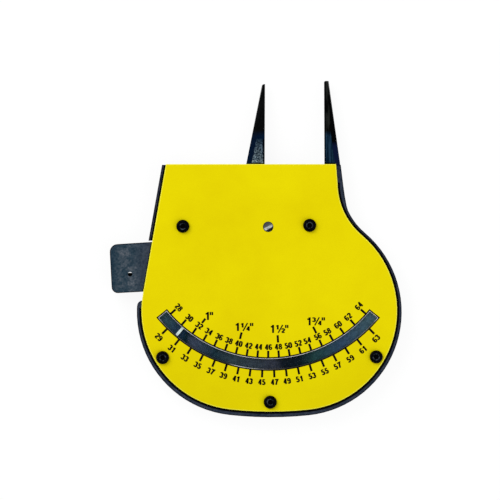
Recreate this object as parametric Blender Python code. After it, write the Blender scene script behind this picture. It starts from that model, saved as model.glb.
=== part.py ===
"""Pocket dial caliper with thin scissor jaws, read in thirty-seconds of an inch.

The gauge lies on its back. The origin is on the back face, under the pivot of
the pointer. X runs to the right, Y up towards the jaws and Z out of the dial.
All sizes below are in millimetres and all angles in degrees.
"""

import math

import bmesh
import bpy
from mathutils import Matrix, Vector
from mathutils.geometry import convex_hull_2d

MM = 0.001
GAP = 0.3
EPS = 1.0

# Thicknesses, from the back face to the front.
BACK_THICK = 2.5
FRAME_THICK = 6.0
COVER_THICK = 1.5
SLIDE_THICK = 2.4
CRANK_THICK = 1.2
NEEDLE_THICK = 0.6
LENS_THICK = 0.5

BACK_TOP = BACK_THICK
FRAME_Z = BACK_TOP + GAP
FRAME_TOP = FRAME_Z + FRAME_THICK
COVER_Z = FRAME_TOP + GAP
COVER_TOP = COVER_Z + COVER_THICK
SLIDE_TOP = FRAME_Z + SLIDE_THICK
CRANK_Z = SLIDE_TOP + 2 * GAP
CRANK_TOP = CRANK_Z + CRANK_THICK
NEEDLE_Z = CRANK_TOP + GAP
NEEDLE_TOP = NEEDLE_Z + NEEDLE_THICK

# Outline of the yellow cover: straight left edge, three arcs and a hollow neck.
BODY_TOP_Y = 25.7
TOP_LEFT_X = -41.9
TOP_RIGHT_X = 27.8
LEFT_SLANT = 10.1
LEFT_ARC_R = 40.7
BOTTOM_ARC_R = 150.9
BOTTOM_ARC_X = 0.97
BOTTOM_ARC_Y = 75.14
RIGHT_ARC_R = 40.66
RIGHT_EDGE_X = 52.84
NECK_ARC_R = 28.3
NECK_X = 28.4
COVER_CHAMFER = 0.3

# Steel frame that shows as a rim, with the fixed jaw on its right shoulder. The rim
# sits a little lower than the covers, so it is wider at the bottom.
RIM = 1.9
RIM_DROP = 0.42
RING_INSIDE = 5.5
FRAME_TOP_Y = BODY_TOP_Y - GAP
NECK_EDGE = ((32.15, 8.6), (31.45, 12.4), (30.85, 16.5), (29.75, FRAME_TOP_Y))
NECK_START_Y = 7.0
SHOULDER_X = 20.3
SHOULDER_LOW_Y = -3.0
EAR_R = 3.6
RIM_CHAMFER = 0.35
SLOT_LOW_Y = -30.2
SLOT_CORNER_R = 2.2

# Side bar at the upper left.
BAR_RIM = 1.55
BAR_INSIDE = 4.2
BAR_DOWEL_INSIDE = 2.1
BAR_LOW_Y = -5.7
BAR_DOWEL_Y = (9.0, 20.0)

# Window over the scale, the clear pane behind it and the steel floor under it.
WINDOW_INSET = 19.5
WINDOW_WIDE = 4.7
WINDOW_MID_R = BOTTOM_ARC_R - BOTTOM_ARC_Y - WINDOW_INSET
WINDOW_IN_R = WINDOW_MID_R - WINDOW_WIDE / 2
WINDOW_OUT_R = WINDOW_MID_R + WINDOW_WIDE / 2
WINDOW_HALF_ANGLE = 50.5
WINDOW_CHAMFER = 0.28
PANE_BORDER = 1.5
PANE_POCKET = 0.8
FLOOR_IN_R = WINDOW_IN_R - 3.4
FLOOR_HALF_ANGLE = WINDOW_HALF_ANGLE + 2.0
FLOOR_TOP = NEEDLE_Z - 2 * GAP
POCKET_OUT_R = WINDOW_OUT_R + 0.6
POCKET_HALF_ANGLE = WINDOW_HALF_ANGLE + 0.5

# Jaws. The reading is in thirty-seconds of an inch.
READING = 30.5
UNIT = 25.4 / 32
FIXED_TIP_X = 22.9
FIXED_ROOT_X = 23.05
FIXED_TIP_Y = 59.8
FIXED_OUTER_ROOT_X = 29.5
FIXED_OUTER_TIP_X = 24.75
MOVING_TIP_X = FIXED_TIP_X - READING * UNIT
MOVING_ROOT_X = MOVING_TIP_X - 0.15
MOVING_TIP_Y = 58.5
MOVING_ROOT_WIDE = 7.7
MOVING_TIP_WIDE = 1.15
MOVING_OUTER_ROOT_X = MOVING_TIP_X - MOVING_ROOT_WIDE
MOVING_OUTER_TIP_X = MOVING_TIP_X - MOVING_TIP_WIDE
GRIND_Y = 36.9
JAW_TIP_THICK = 2.4
JAW_BEVEL = 2.15
JAW_BEVEL_DROP = 1.6
JAW_TIP_BEVEL = 0.3
JAW_TIP_DROP = 0.9
TIP_CORNER = 0.45
JAW_FOOT_Y = 22.8

# Crank, pins and pointer, drawn with the pointer straight down.
DIAL_MIDDLE = 46.0
DIAL_FULL = 24.0
CRANK_R = DIAL_FULL * UNIT
PUSH_R = CRANK_R / 2
REST_ANGLE = math.degrees(math.asin((READING - DIAL_MIDDLE) / DIAL_FULL))
JAW_PIN_R = 2.0
PUSH_PIN_R = 1.5
CRANK_HUB_R = 4.6
CRANK_END_R = 2.9
CRANK_FOOT_R = 2.7
NEEDLE_R = WINDOW_OUT_R - 0.4
NEEDLE_HALF = 0.55
NEEDLE_HUB_R = 3.9
NEEDLE_THIN_R = 44.0
NEEDLE_FOOT_R = 2.4
NEEDLE_ROOT_HALF = 1.5

# Pivot, bush and washer.
PIVOT_R = 1.5
PIVOT_HEAD_R = 1.87
PIVOT_SEAT_Z = 0.9
PIVOT_SLOT = 0.55
PIVOT_SLOT_DEEP = 0.7
PIVOT_SLOT_TURN = 27.0
BUSH_R = 3.4
WASHER_R = 4.0
WASHER_THICK = 0.4

# Travel of the jaw slide from the rest pose, closing and opening.
LOW_READING = 28.0
HIGH_READING = 64.0
CLOSE_TRAVEL = (READING - LOW_READING) * UNIT
OPEN_TRAVEL = (HIGH_READING - READING) * UNIT

# Jaw slide.
JAW_SLIDE_LEFT_X = -10.6
JAW_SLIDE_RIGHT_X = 17.6
JAW_SLIDE_LOW_Y = 4.8
JAW_SLIDE_TOP_Y = 25.2
JAW_SLIDE_CORNER_R = 1.5
YOKE_PLAY = 1.0
JAW_GUIDE_Y = 7.4
JAW_GUIDE_X = (-7.6, 15.3)
GUIDE_PIN_R = 1.1
GROOVE_DEEP = 1.4
GROOVE_PLAY = 0.5

# Push slide with the thumb tab.
TAB_LEFT_TOP_X = -65.1
TAB_LEFT_LOW_X = -64.05
TAB_TOP_Y = -7.3
TAB_LOW_Y = -27.3
TAB_TOP_CORNER_R = 3.2
TAB_LOW_CORNER_R = 2.5
TAB_BLOCK_X = -47.5
TAB_HOLE_X = -56.65
TAB_HOLE_Y = -19.4
TAB_HOLE_R = 0.95
TAB_HOLE_DEEP = 2.5
PUSH_TOP_Y = -6.2
PUSH_LOW_Y = -26.4
FORK_PLAY = 0.55
FORK_TOP_Y = -4.5
FORK_WALL = 2.6
PUSH_BODY_LOW_Y = -24.0
PUSH_GUIDE_Y = -17.0
PUSH_GUIDE_X = (-40.0, -14.0)
LUG_X = -18.0
LUG_R = 2.1

# Return spring between its two pins.
SPRING_Y = -28.5
ANCHOR_X = -43.6
SPRING_PIN_R = 0.7
SPRING_WIRE_R = 0.2
SPRING_COIL_R = 1.05
SPRING_TURNS = 15
LOOP_MOUTH = 30.0
SPRING_TAIL = 1.5
SPRING_Z = BACK_TOP + GAP + SPRING_COIL_R + SPRING_WIRE_R
LOOP_Z = SLIDE_TOP + GAP + SPRING_WIRE_R
SPRING_PIN_TOP = LOOP_Z + 0.9

# Cover screws and dowels. A screw on an arc has an angle and an inset from the edge.
BAR_SCREW_XY = (-35.0, 0.2)
EAR_SCREW_XY = (17.0, 0.6)
LEFT_SCREW = (211.0, 3.32)
BOTTOM_SCREW = (269.95, 3.86)
RIGHT_SCREW = (329.66, 3.44)
SCREW_R = 1.42
SCREW_HEAD_R = 2.705
SCREW_HEAD_THICK = 1.5
SCREW_FLOOR_Z = 0.8
SOCKET_FLATS = 1.6
SOCKET_DEEP = 0.9
DOWEL_R = 1.0
DOWEL_INSIDE = 3.1
DOWEL_FLOOR_Z = 1.0
BAR_DOWEL_R = 0.8

# Greatest distance between a true arc and its facets, and a length past every edge.
CHORD = 0.03
SECTOR_STEPS = 48
FAR = 60.0


def material(name, colour, roughness, metallic):
    """One Principled material."""
    made = bpy.data.materials.new(name)
    made.use_nodes = True
    shader = made.node_tree.nodes["Principled BSDF"]
    shader.inputs["Base Color"].default_value = (*colour, 1.0)
    shader.inputs["Roughness"].default_value = roughness
    shader.inputs["Metallic"].default_value = metallic
    made.diffuse_color = (*colour, 1.0)
    return made


def arc_steps(radius, sweep):
    """How many facets keep an arc within the chord tolerance."""
    step = min(18.0, 2 * math.degrees(math.acos(1 - CHORD / max(radius, 1.0))))
    return max(2, math.ceil(abs(sweep) / step))


def arc(centre, radius, start, stop, steps=None):
    """Points on an arc, both ends included, angles in degrees."""
    steps = steps or arc_steps(radius, stop - start)
    points = []
    for i in range(steps + 1):
        angle = math.radians(start + (stop - start) * i / steps)
        points.append((centre[0] + radius * math.cos(angle), centre[1] + radius * math.sin(angle)))
    return points


def circle(centre, radius, sides=28):
    """A closed ring of points."""
    turns = [2 * math.pi * i / sides for i in range(sides)]
    return [(centre[0] + radius * math.cos(t), centre[1] + radius * math.sin(t)) for t in turns]


def hull(points):
    """The convex outline round the points."""
    order = convex_hull_2d([Vector(p) for p in points])
    return [points[i] for i in order]


def rounded(corners):
    """A polygon whose corners, given as (x, y, radius), are filleted."""
    points = []
    count = len(corners)
    for i, (x, y, radius) in enumerate(corners):
        here = Vector((x, y))
        if radius == 0:
            points.append((x, y))
            continue
        before = (Vector(corners[i - 1][:2]) - here).normalized()
        after = (Vector(corners[(i + 1) % count][:2]) - here).normalized()
        half = before.angle(after) / 2
        centre = here + (before + after).normalized() * (radius / math.sin(half))
        first = here + before * (radius / math.tan(half)) - centre
        last = here + after * (radius / math.tan(half)) - centre
        sweep = first.angle_signed(last)
        start = math.degrees(math.atan2(first.y, first.x))
        points += arc(centre, radius, start, start - math.degrees(sweep))
    return points


def inset(outline, distance):
    """An anticlockwise outline moved inwards, with mitred corners."""
    points = []
    for i, (x, y) in enumerate(outline):
        before = Vector((x, y)) - Vector(outline[i - 1])
        after = Vector(outline[(i + 1) % len(outline)]) - Vector((x, y))
        inward = [Vector((-d.y, d.x)).normalized() for d in (before, after)]
        mitre = (inward[0] + inward[1]) / (1 + inward[0].dot(inward[1]))
        points.append((x + mitre.x * distance, y + mitre.y * distance))
    return points


def degrees_of(vector):
    """The direction of a flat vector."""
    return math.degrees(math.atan2(vector.y, vector.x))


def body_centres():
    """Centres of the four arcs, each tangent to the next."""
    slant = math.radians(LEFT_SLANT)
    down = Vector((-math.sin(slant), -math.cos(slant)))
    out = Vector((-math.cos(slant), math.sin(slant)))
    bottom = Vector((BOTTOM_ARC_X, BOTTOM_ARC_Y))
    start = Vector((TOP_LEFT_X, BODY_TOP_Y)) - out * LEFT_ARC_R
    reach = BOTTOM_ARC_R - LEFT_ARC_R
    along = (bottom - start).dot(down)
    aside = (bottom - start).length_squared - along**2
    left = start + down * (along + math.sqrt(reach**2 - aside))
    right_x = RIGHT_EDGE_X - RIGHT_ARC_R
    reach = BOTTOM_ARC_R - RIGHT_ARC_R
    right = Vector((right_x, bottom.y - math.sqrt(reach**2 - (right_x - bottom.x) ** 2)))
    neck_x = NECK_X + NECK_ARC_R
    reach = RIGHT_ARC_R + NECK_ARC_R
    neck = Vector((neck_x, right.y + math.sqrt(reach**2 - (neck_x - right.x) ** 2)))
    return left, bottom, right, neck


def left_edge_x(y, offset=0.0):
    """X of the straight left edge at a height, moved outwards by an offset."""
    slant = math.radians(LEFT_SLANT)
    return TOP_LEFT_X - (BODY_TOP_Y - y) * math.tan(slant) - offset / math.cos(slant)


def body_outline(offset=0.0, top=BODY_TOP_Y, drop=0.0):
    """The body's outline, moved outwards by an offset and lowered, anticlockwise."""
    left, bottom, right, neck = [centre - Vector((0, drop)) for centre in body_centres()]
    low_left = degrees_of(left - bottom) % 360
    low_right = degrees_of(right - bottom) % 360
    side = degrees_of(neck - right)
    points = [(TOP_RIGHT_X + offset, top), (left_edge_x(top + drop, offset), top)]
    points += arc(left, LEFT_ARC_R + offset, 180 - LEFT_SLANT, low_left)
    points += arc(bottom, BOTTOM_ARC_R + offset, low_left, low_right)[1:]
    points += arc(right, RIGHT_ARC_R + offset, low_right, 360 + side)[1:]
    points += arc(neck, NECK_ARC_R - offset, 180 + side, 180)[1:]
    return points


def finish(name, mesh, look, parent=None, world=True, smooth=False):
    """Turn a bmesh, in millimetres, into a named object."""
    bmesh.ops.recalc_face_normals(mesh, faces=mesh.faces)
    bmesh.ops.scale(mesh, vec=(MM, MM, MM), verts=mesh.verts)
    if parent and world:
        bmesh.ops.transform(mesh, matrix=parent.matrix_basis.inverted(), verts=mesh.verts)
    data = bpy.data.meshes.new(name)
    mesh.to_mesh(data)
    mesh.free()
    made = bpy.data.objects.new(name, data)
    bpy.context.scene.collection.objects.link(made)
    made.parent = parent
    if smooth:
        data.shade_smooth()
        data.set_sharp_from_angle(angle=math.radians(30))
    if look:
        data.materials.append(look)
    else:
        made.hide_render = True
        made.display_type = "WIRE"
    return made


def loft_mesh(rings):
    """A closed solid through rings of (x, y, z) with equal counts."""
    mesh = bmesh.new()
    loops = [[mesh.verts.new(p) for p in ring] for ring in rings]
    mesh.faces.new(loops[0])
    mesh.faces.new(list(reversed(loops[-1])))
    for low, high in zip(loops, loops[1:]):
        for i in range(len(low)):
            j = (i + 1) % len(low)
            mesh.faces.new((low[i], low[j], high[j], high[i]))
    return mesh


def loft(name, rings, look=None, **place):
    """A named closed solid through rings of (x, y, z)."""
    return finish(name, loft_mesh(rings), look, **place)


def prism(name, outline, low, high, look=None, **place):
    """A flat outline extruded from one height to another."""
    rings = [[(x, y, z) for x, y in outline] for z in (low, high)]
    return loft(name, rings, look, **place)


def chamfered(name, outline, levels, look=None, **place):
    """A flat outline lofted through levels of (inset, height)."""
    rings = [[(x, y, z) for x, y in inset(outline, edge)] for edge, z in levels]
    return loft(name, rings, look, **place)


def rod(name, centre, radius, low, high, look=None, sides=28, **place):
    """A round bar along Z."""
    return turned(name, centre, ((radius, low), (radius, high)), look, sides, **place)


def rods(name, centres, radius, low, high, look=None, sides=20, **place):
    """Several equal round bars in one object."""
    mesh = bmesh.new()
    for centre in centres:
        add_stack(mesh, centre, ((radius, low), (radius, high)), sides)
    return finish(name, mesh, look, smooth=True, **place)


def add_stack(mesh, centre, profile, sides=24):
    """Add a turned solid whose profile is (radius, height) from low to high."""
    loops = []
    for radius, height in profile:
        loops.append([mesh.verts.new((x, y, height)) for x, y in circle(centre, radius, sides)])
    mesh.faces.new(loops[0])
    mesh.faces.new(list(reversed(loops[-1])))
    for low, high in zip(loops, loops[1:]):
        for i in range(sides):
            j = (i + 1) % sides
            mesh.faces.new((low[i], low[j], high[j], high[i]))


def turned(name, centre, profile, look=None, sides=24, **place):
    """A turned piece along Z."""
    mesh = bmesh.new()
    add_stack(mesh, centre, profile, sides)
    return finish(name, mesh, look, smooth=True, **place)


def settle(made):
    """Bake a round piece's cuts, and mark its sharp edges again."""
    graph = bpy.context.evaluated_depsgraph_get()
    data = bpy.data.meshes.new_from_object(made.evaluated_get(graph))
    made.modifiers.clear()
    made.data = data
    data.set_sharp_from_angle(angle=math.radians(30))


def copies(name, centres, profile, look, sides=20, parent=None, socket=None):
    """Equal turned pieces that share one mesh, numbered from 1."""
    first = turned(name + "_1", (0, 0), profile, look, sides)
    if socket:
        cut(first, socket)
        settle(first)
    for number, (x, y) in enumerate(centres, 1):
        made = first
        if number > 1:
            made = first.copy()
            made.name = f"{name}_{number}"
            bpy.context.scene.collection.objects.link(made)
        made.parent = parent
        made.location = Vector((x, y, 0)) * MM
        if parent:
            made.location -= parent.location


def boolean(target, tool, operation):
    """Cut, join or intersect, with the exact solver."""
    step = target.modifiers.new(operation.lower() + " " + tool.name, "BOOLEAN")
    step.operation = operation
    step.solver = "EXACT"
    step.object = tool


def cut(target, *tools):
    """Take each tool away from the target."""
    for tool in tools:
        boolean(target, tool, "DIFFERENCE")


def weld(target, *tools):
    """Add each tool to the target as one solid."""
    for tool in tools:
        boolean(target, tool, "UNION")


def empty(name, x, y, z, turn=0.0):
    """An empty that carries one moving body on its joint axis."""
    made = bpy.data.objects.new(name, None)
    made.empty_display_size = 5 * MM
    made.matrix_basis = Matrix.Translation(Vector((x, y, z)) * MM) @ Matrix.Rotation(
        math.radians(turn), 4, "Z"
    )
    bpy.context.scene.collection.objects.link(made)
    return made


def annular_sector(inner, outer, half_angle):
    """A band about the pivot, centred straight down."""
    outside = arc((0, 0), outer, 270 - half_angle, 270 + half_angle, SECTOR_STEPS)
    inside = arc((0, 0), inner, 270 + half_angle, 270 - half_angle, SECTOR_STEPS)
    return outside + inside


def screw_places():
    """Centres of the five cover screws: two by the pivot and one on each lower arc."""
    left, bottom, right, _ = body_centres()
    places = [BAR_SCREW_XY, EAR_SCREW_XY]
    for centre, radius, (turn, edge) in (
        (left, LEFT_ARC_R, LEFT_SCREW),
        (bottom, BOTTOM_ARC_R, BOTTOM_SCREW),
        (right, RIGHT_ARC_R, RIGHT_SCREW),
    ):
        angle = math.radians(turn)
        reach = radius - edge
        places.append((centre.x + reach * math.cos(angle), centre.y + reach * math.sin(angle)))
    return places


def jaw_rings(foot_y, tip_y, inner, outer, corners):
    """Sections of a jaw: parallel below the grind, then tapering to the tip.

    inner and outer are the X of each edge at the root and at the tip, and corners is
    how much of the tip's corner is cut off on each of them.
    """
    side = 1 if outer[0] > inner[0] else -1
    stations = [(y, 0.0) for y in (foot_y, BODY_TOP_Y, GRIND_Y, tip_y - max(corners))]
    rings = []
    for y, corner in stations + [(tip_y, 1.0)]:
        rise = max(0.0, (y - BODY_TOP_Y) / (tip_y - BODY_TOP_Y))
        grind = max(0.0, (y - GRIND_Y) / (tip_y - GRIND_Y))
        near = inner[0] + (inner[1] - inner[0]) * rise + side * corners[0] * corner
        far = outer[0] + (outer[1] - outer[0]) * rise - side * corners[1] * corner
        top = FRAME_TOP - (FRAME_THICK - JAW_TIP_THICK) * grind
        bevel = JAW_BEVEL + (JAW_TIP_BEVEL - JAW_BEVEL) * grind
        drop = JAW_BEVEL_DROP + (JAW_TIP_DROP - JAW_BEVEL_DROP) * grind
        section = [(near, FRAME_Z), (far, FRAME_Z), (far, top - drop)]
        section += [(far - side * bevel, top), (near, top)]
        rings.append([(x, y, z) for x, z in section])
    return rings


def build_back_plate(look):
    """Back plate with blind seats and the grooves that guide both slides."""
    levels = ((COVER_CHAMFER, 0.0), (0.0, COVER_CHAMFER), (0.0, BACK_THICK))
    plate = chamfered("back_plate", body_outline(), levels, look)
    top = BACK_TOP + EPS
    cut(plate, rods("cut_back_screws", screw_places(), SCREW_R + GAP, SCREW_FLOOR_Z - GAP, top))
    cut(plate, rod("cut_back_pivot", (0, 0), PIVOT_R + GAP, PIVOT_SEAT_Z - GAP, top))
    cut(plate, rods("cut_back_dowels", frame_dowel_places(), DOWEL_R + GAP, DOWEL_FLOOR_Z - GAP, top))
    cut(plate, rods("cut_back_bar", bar_dowel_places(), BAR_DOWEL_R + GAP, DOWEL_FLOOR_Z - GAP, top))
    anchor = rod("cut_back_anchor", (ANCHOR_X, SPRING_Y), SPRING_PIN_R + GAP, DOWEL_FLOOR_Z - GAP, top)
    cut(plate, anchor)
    floor = BACK_TOP - GROOVE_DEEP
    half = GUIDE_PIN_R + GAP
    jaw_from = JAW_GUIDE_X[0] - OPEN_TRAVEL - GROOVE_PLAY
    jaw_to = JAW_GUIDE_X[1] + CLOSE_TRAVEL + GROOVE_PLAY
    push_from = PUSH_GUIDE_X[0] - CLOSE_TRAVEL / 2 - GROOVE_PLAY
    push_to = PUSH_GUIDE_X[1] + OPEN_TRAVEL / 2 + GROOVE_PLAY
    for name, left, right, y in (
        ("cut_jaw_groove", jaw_from, jaw_to, JAW_GUIDE_Y),
        ("cut_push_groove", push_from, push_to, PUSH_GUIDE_Y),
    ):
        ends = arc((left, y), half, 90, 270) + arc((right, y), half, -90, 90)
        cut(plate, prism(name, ends, floor, top))
    return plate


def frame_dowel_places():
    """Two dowels in the ring and one in the shoulder."""
    left, _, right, _ = body_centres()
    spots = [((SHOULDER_X + NECK_X) / 2, BODY_TOP_Y / 2)]
    for centre, radius, turn in ((left, LEFT_ARC_R, 200), (right, RIGHT_ARC_R, 5)):
        reach = radius - DOWEL_INSIDE
        angle = math.radians(turn)
        spots.append((centre.x + reach * math.cos(angle), centre.y + reach * math.sin(angle)))
    return spots


def bar_dowel_places():
    """Two dowels in the side bar, clear of the plates' edge."""
    return [(left_edge_x(y, -BAR_DOWEL_INSIDE), y) for y in BAR_DOWEL_Y]


def frame_outline():
    """The rim's outline, with a neck that carries on the fixed jaw's outer line."""
    rim = body_outline(RIM, FRAME_TOP_Y, RIM_DROP)
    return [p for p in rim if p[0] < 0 or p[1] < NECK_START_Y] + list(NECK_EDGE)


def build_frame(look):
    """Steel frame: rim, milled floor under the window, shoulder and fixed jaw."""
    levels = ((RIM_CHAMFER, FRAME_Z), (0.0, FRAME_Z + RIM_CHAMFER))
    levels += ((0.0, FRAME_TOP - RIM_CHAMFER), (RIM_CHAMFER, FRAME_TOP))
    frame = chamfered("frame", frame_outline(), levels, look)
    low = FRAME_Z - EPS
    high = FRAME_TOP + EPS
    hollow = prism("cut_frame_hollow", body_outline(-RING_INSIDE, BODY_TOP_Y + EPS), low, high)
    block = [(SHOULDER_X, SHOULDER_LOW_Y), (FAR, SHOULDER_LOW_Y), (FAR, FAR), (SHOULDER_X, FAR)]
    cut(hollow, prism("keep_shoulder", block, low - EPS, high + EPS))
    ear = circle(EAR_SCREW_XY, EAR_R)
    ear += [(SHOULDER_X + EAR_R, EAR_SCREW_XY[1] + EAR_R), (SHOULDER_X + EAR_R, SHOULDER_LOW_Y)]
    cut(hollow, prism("keep_ear", hull(ear), low - EPS, high + EPS))
    floor = annular_sector(FLOOR_IN_R, FLOOR_IN_R + FAR, FLOOR_HALF_ANGLE)
    cut(hollow, prism("keep_floor", floor, low - EPS, high + EPS))
    pocket = annular_sector(FLOOR_IN_R - EPS, POCKET_OUT_R, POCKET_HALF_ANGLE)
    rim_x = left_edge_x(SLOT_LOW_Y + RIM_DROP, RIM)
    corner = (rim_x + SLOT_CORNER_R, SLOT_LOW_Y - SLOT_CORNER_R)
    slot = [(rim_x - FAR, FAR), (rim_x - FAR, corner[1])]
    slot += arc(corner, SLOT_CORNER_R, 180, 90)
    slot += [(BAR_SCREW_XY[0], SLOT_LOW_Y), (BAR_SCREW_XY[0] + EAR_R, FAR)]
    cut(frame, hollow, prism("cut_pointer_pocket", pocket, FLOOR_TOP, high))
    cut(frame, prism("cut_frame_slot", slot, low, high))
    inner = (FIXED_ROOT_X, FIXED_TIP_X)
    outer = (FIXED_OUTER_ROOT_X, FIXED_OUTER_TIP_X)
    rings = jaw_rings(JAW_FOOT_Y, FIXED_TIP_Y, inner, outer, (TIP_CORNER, 0.0))
    weld(frame, loft("add_fixed_jaw", rings))
    cut(frame, rods("cut_frame_screws", screw_places()[1:], SCREW_R + GAP, low, high))
    cut(frame, rods("cut_frame_dowels", frame_dowel_places(), DOWEL_R + GAP, low, high))
    return frame


def build_side_bar(look):
    """The separate bar above the slot, with an ear round the upper left screw."""
    corners = [(left_edge_x(FRAME_TOP_Y, BAR_RIM), FRAME_TOP_Y)]
    corners += [(left_edge_x(BAR_LOW_Y, BAR_RIM), BAR_LOW_Y)]
    corners += [(left_edge_x(BAR_LOW_Y, -BAR_INSIDE), BAR_LOW_Y)]
    corners += [(left_edge_x(FRAME_TOP_Y, -BAR_INSIDE), FRAME_TOP_Y)]
    levels = ((RIM_CHAMFER, FRAME_Z), (0.0, FRAME_Z + RIM_CHAMFER))
    levels += ((0.0, FRAME_TOP - RIM_CHAMFER), (RIM_CHAMFER, FRAME_TOP))
    bar = chamfered("side_bar", corners, levels, look)
    screw_y = BAR_SCREW_XY[1]
    ear = circle(BAR_SCREW_XY, EAR_R)
    ear += [(left_edge_x(screw_y, -1), screw_y + EAR_R), (left_edge_x(screw_y, -1), screw_y - EAR_R)]
    weld(bar, prism("add_bar_ear", hull(ear), FRAME_Z, FRAME_TOP))
    low = FRAME_Z - EPS
    high = FRAME_TOP + EPS
    cut(bar, rod("cut_bar_screw", BAR_SCREW_XY, SCREW_R + GAP, low, high))
    cut(bar, rods("cut_bar_dowels", bar_dowel_places(), BAR_DOWEL_R + GAP, low, high))
    return bar


def build_cover(look, pane_look):
    """Front cover with its window, and the pane let in behind it."""
    levels = ((0.0, COVER_Z), (0.0, COVER_TOP - COVER_CHAMFER), (COVER_CHAMFER, COVER_TOP))
    cover = chamfered("front_cover", body_outline(), levels, look)
    low = COVER_Z - EPS
    high = COVER_TOP + EPS
    cut(cover, rods("cut_cover_screws", screw_places(), SCREW_R + GAP, low, high))
    cut(cover, rod("cut_cover_pivot", (0, 0), PIVOT_HEAD_R + GAP, low, high))
    rings = []
    for edge, z in ((WINDOW_CHAMFER, low), (WINDOW_CHAMFER, COVER_TOP - WINDOW_CHAMFER), (-EPS, high)):
        spread = WINDOW_HALF_ANGLE - math.degrees(edge / WINDOW_MID_R)
        ring = annular_sector(WINDOW_IN_R + edge, WINDOW_OUT_R - edge, spread)
        rings.append([(x, y, z) for x, y in ring])
    cut(cover, loft("cut_cover_window", rings))
    inner = WINDOW_IN_R - PANE_BORDER
    outer = WINDOW_OUT_R + PANE_BORDER
    spread = WINDOW_HALF_ANGLE + math.degrees(PANE_BORDER / outer)
    play = math.degrees(GAP / inner)
    pocket = annular_sector(inner - GAP, outer + GAP, spread + play)
    cut(cover, prism("cut_cover_pocket", pocket, low, COVER_Z + PANE_POCKET))
    pane = annular_sector(inner, outer, spread)
    prism("dial_pane", pane, COVER_Z, COVER_Z + LENS_THICK, pane_look)
    return cover


def build_jaw_slide(look, pin_look, carrier):
    """Sliding jaw: plate with the yoke slot, thick foot and ground blade."""
    low = FRAME_Z
    left = JAW_SLIDE_LEFT_X
    right = JAW_SLIDE_RIGHT_X
    corner_r = JAW_SLIDE_CORNER_R
    corners = [(left, JAW_SLIDE_LOW_Y, corner_r), (right, JAW_SLIDE_LOW_Y, corner_r)]
    corners += [(right, JAW_SLIDE_TOP_Y, corner_r), (left, JAW_SLIDE_TOP_Y, corner_r)]
    slide = prism("jaw_slide", rounded(corners), low, SLIDE_TOP, look, parent=carrier)
    inner = (MOVING_ROOT_X, MOVING_TIP_X)
    outer = (MOVING_OUTER_ROOT_X, MOVING_OUTER_TIP_X)
    rings = jaw_rings(JAW_FOOT_Y, MOVING_TIP_Y, inner, outer, (0.0, TIP_CORNER))
    weld(slide, loft("add_moving_jaw", rings, parent=carrier))
    pin_x = -CRANK_R * math.sin(math.radians(REST_ANGLE))
    pin_low = CRANK_R * math.cos(math.radians(crank_at(HIGH_READING)))
    half = JAW_PIN_R + YOKE_PLAY
    bottom = min(pin_low, CRANK_R * math.cos(math.radians(crank_at(LOW_READING)))) - JAW_PIN_R - GAP
    top = CRANK_R + JAW_PIN_R + GAP
    slot = [(pin_x - half, bottom, half * 0.6), (pin_x + half, bottom, half * 0.6)]
    slot += [(pin_x + half, top, half * 0.6), (pin_x - half, top, half * 0.6)]
    cut(slide, prism("cut_yoke", rounded(slot), low - EPS, SLIDE_TOP + EPS, parent=carrier))
    pins = [(x, JAW_GUIDE_Y) for x in JAW_GUIDE_X]
    cut(slide, rods("cut_jaw_guides", pins, GUIDE_PIN_R + GAP, low - EPS, SLIDE_TOP + EPS,
                    parent=carrier))
    floor = BACK_TOP - GROOVE_DEEP + GAP
    profile = ((GUIDE_PIN_R, floor), (GUIDE_PIN_R, SLIDE_TOP))
    copies("jaw_guide_pin", pins, profile, pin_look, parent=carrier)
    return slide


def crank_at(reading):
    """Crank angle from straight down, at one constant ratio through the range."""
    per_unit = crank_ratio()
    return REST_ANGLE + (reading - READING) * UNIT * per_unit


def crank_ratio():
    """Degrees per millimetre of jaw travel, from the rest pose to fully open."""
    last = math.degrees(math.asin((HIGH_READING - DIAL_MIDDLE) / DIAL_FULL))
    return (last - REST_ANGLE) / OPEN_TRAVEL


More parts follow.
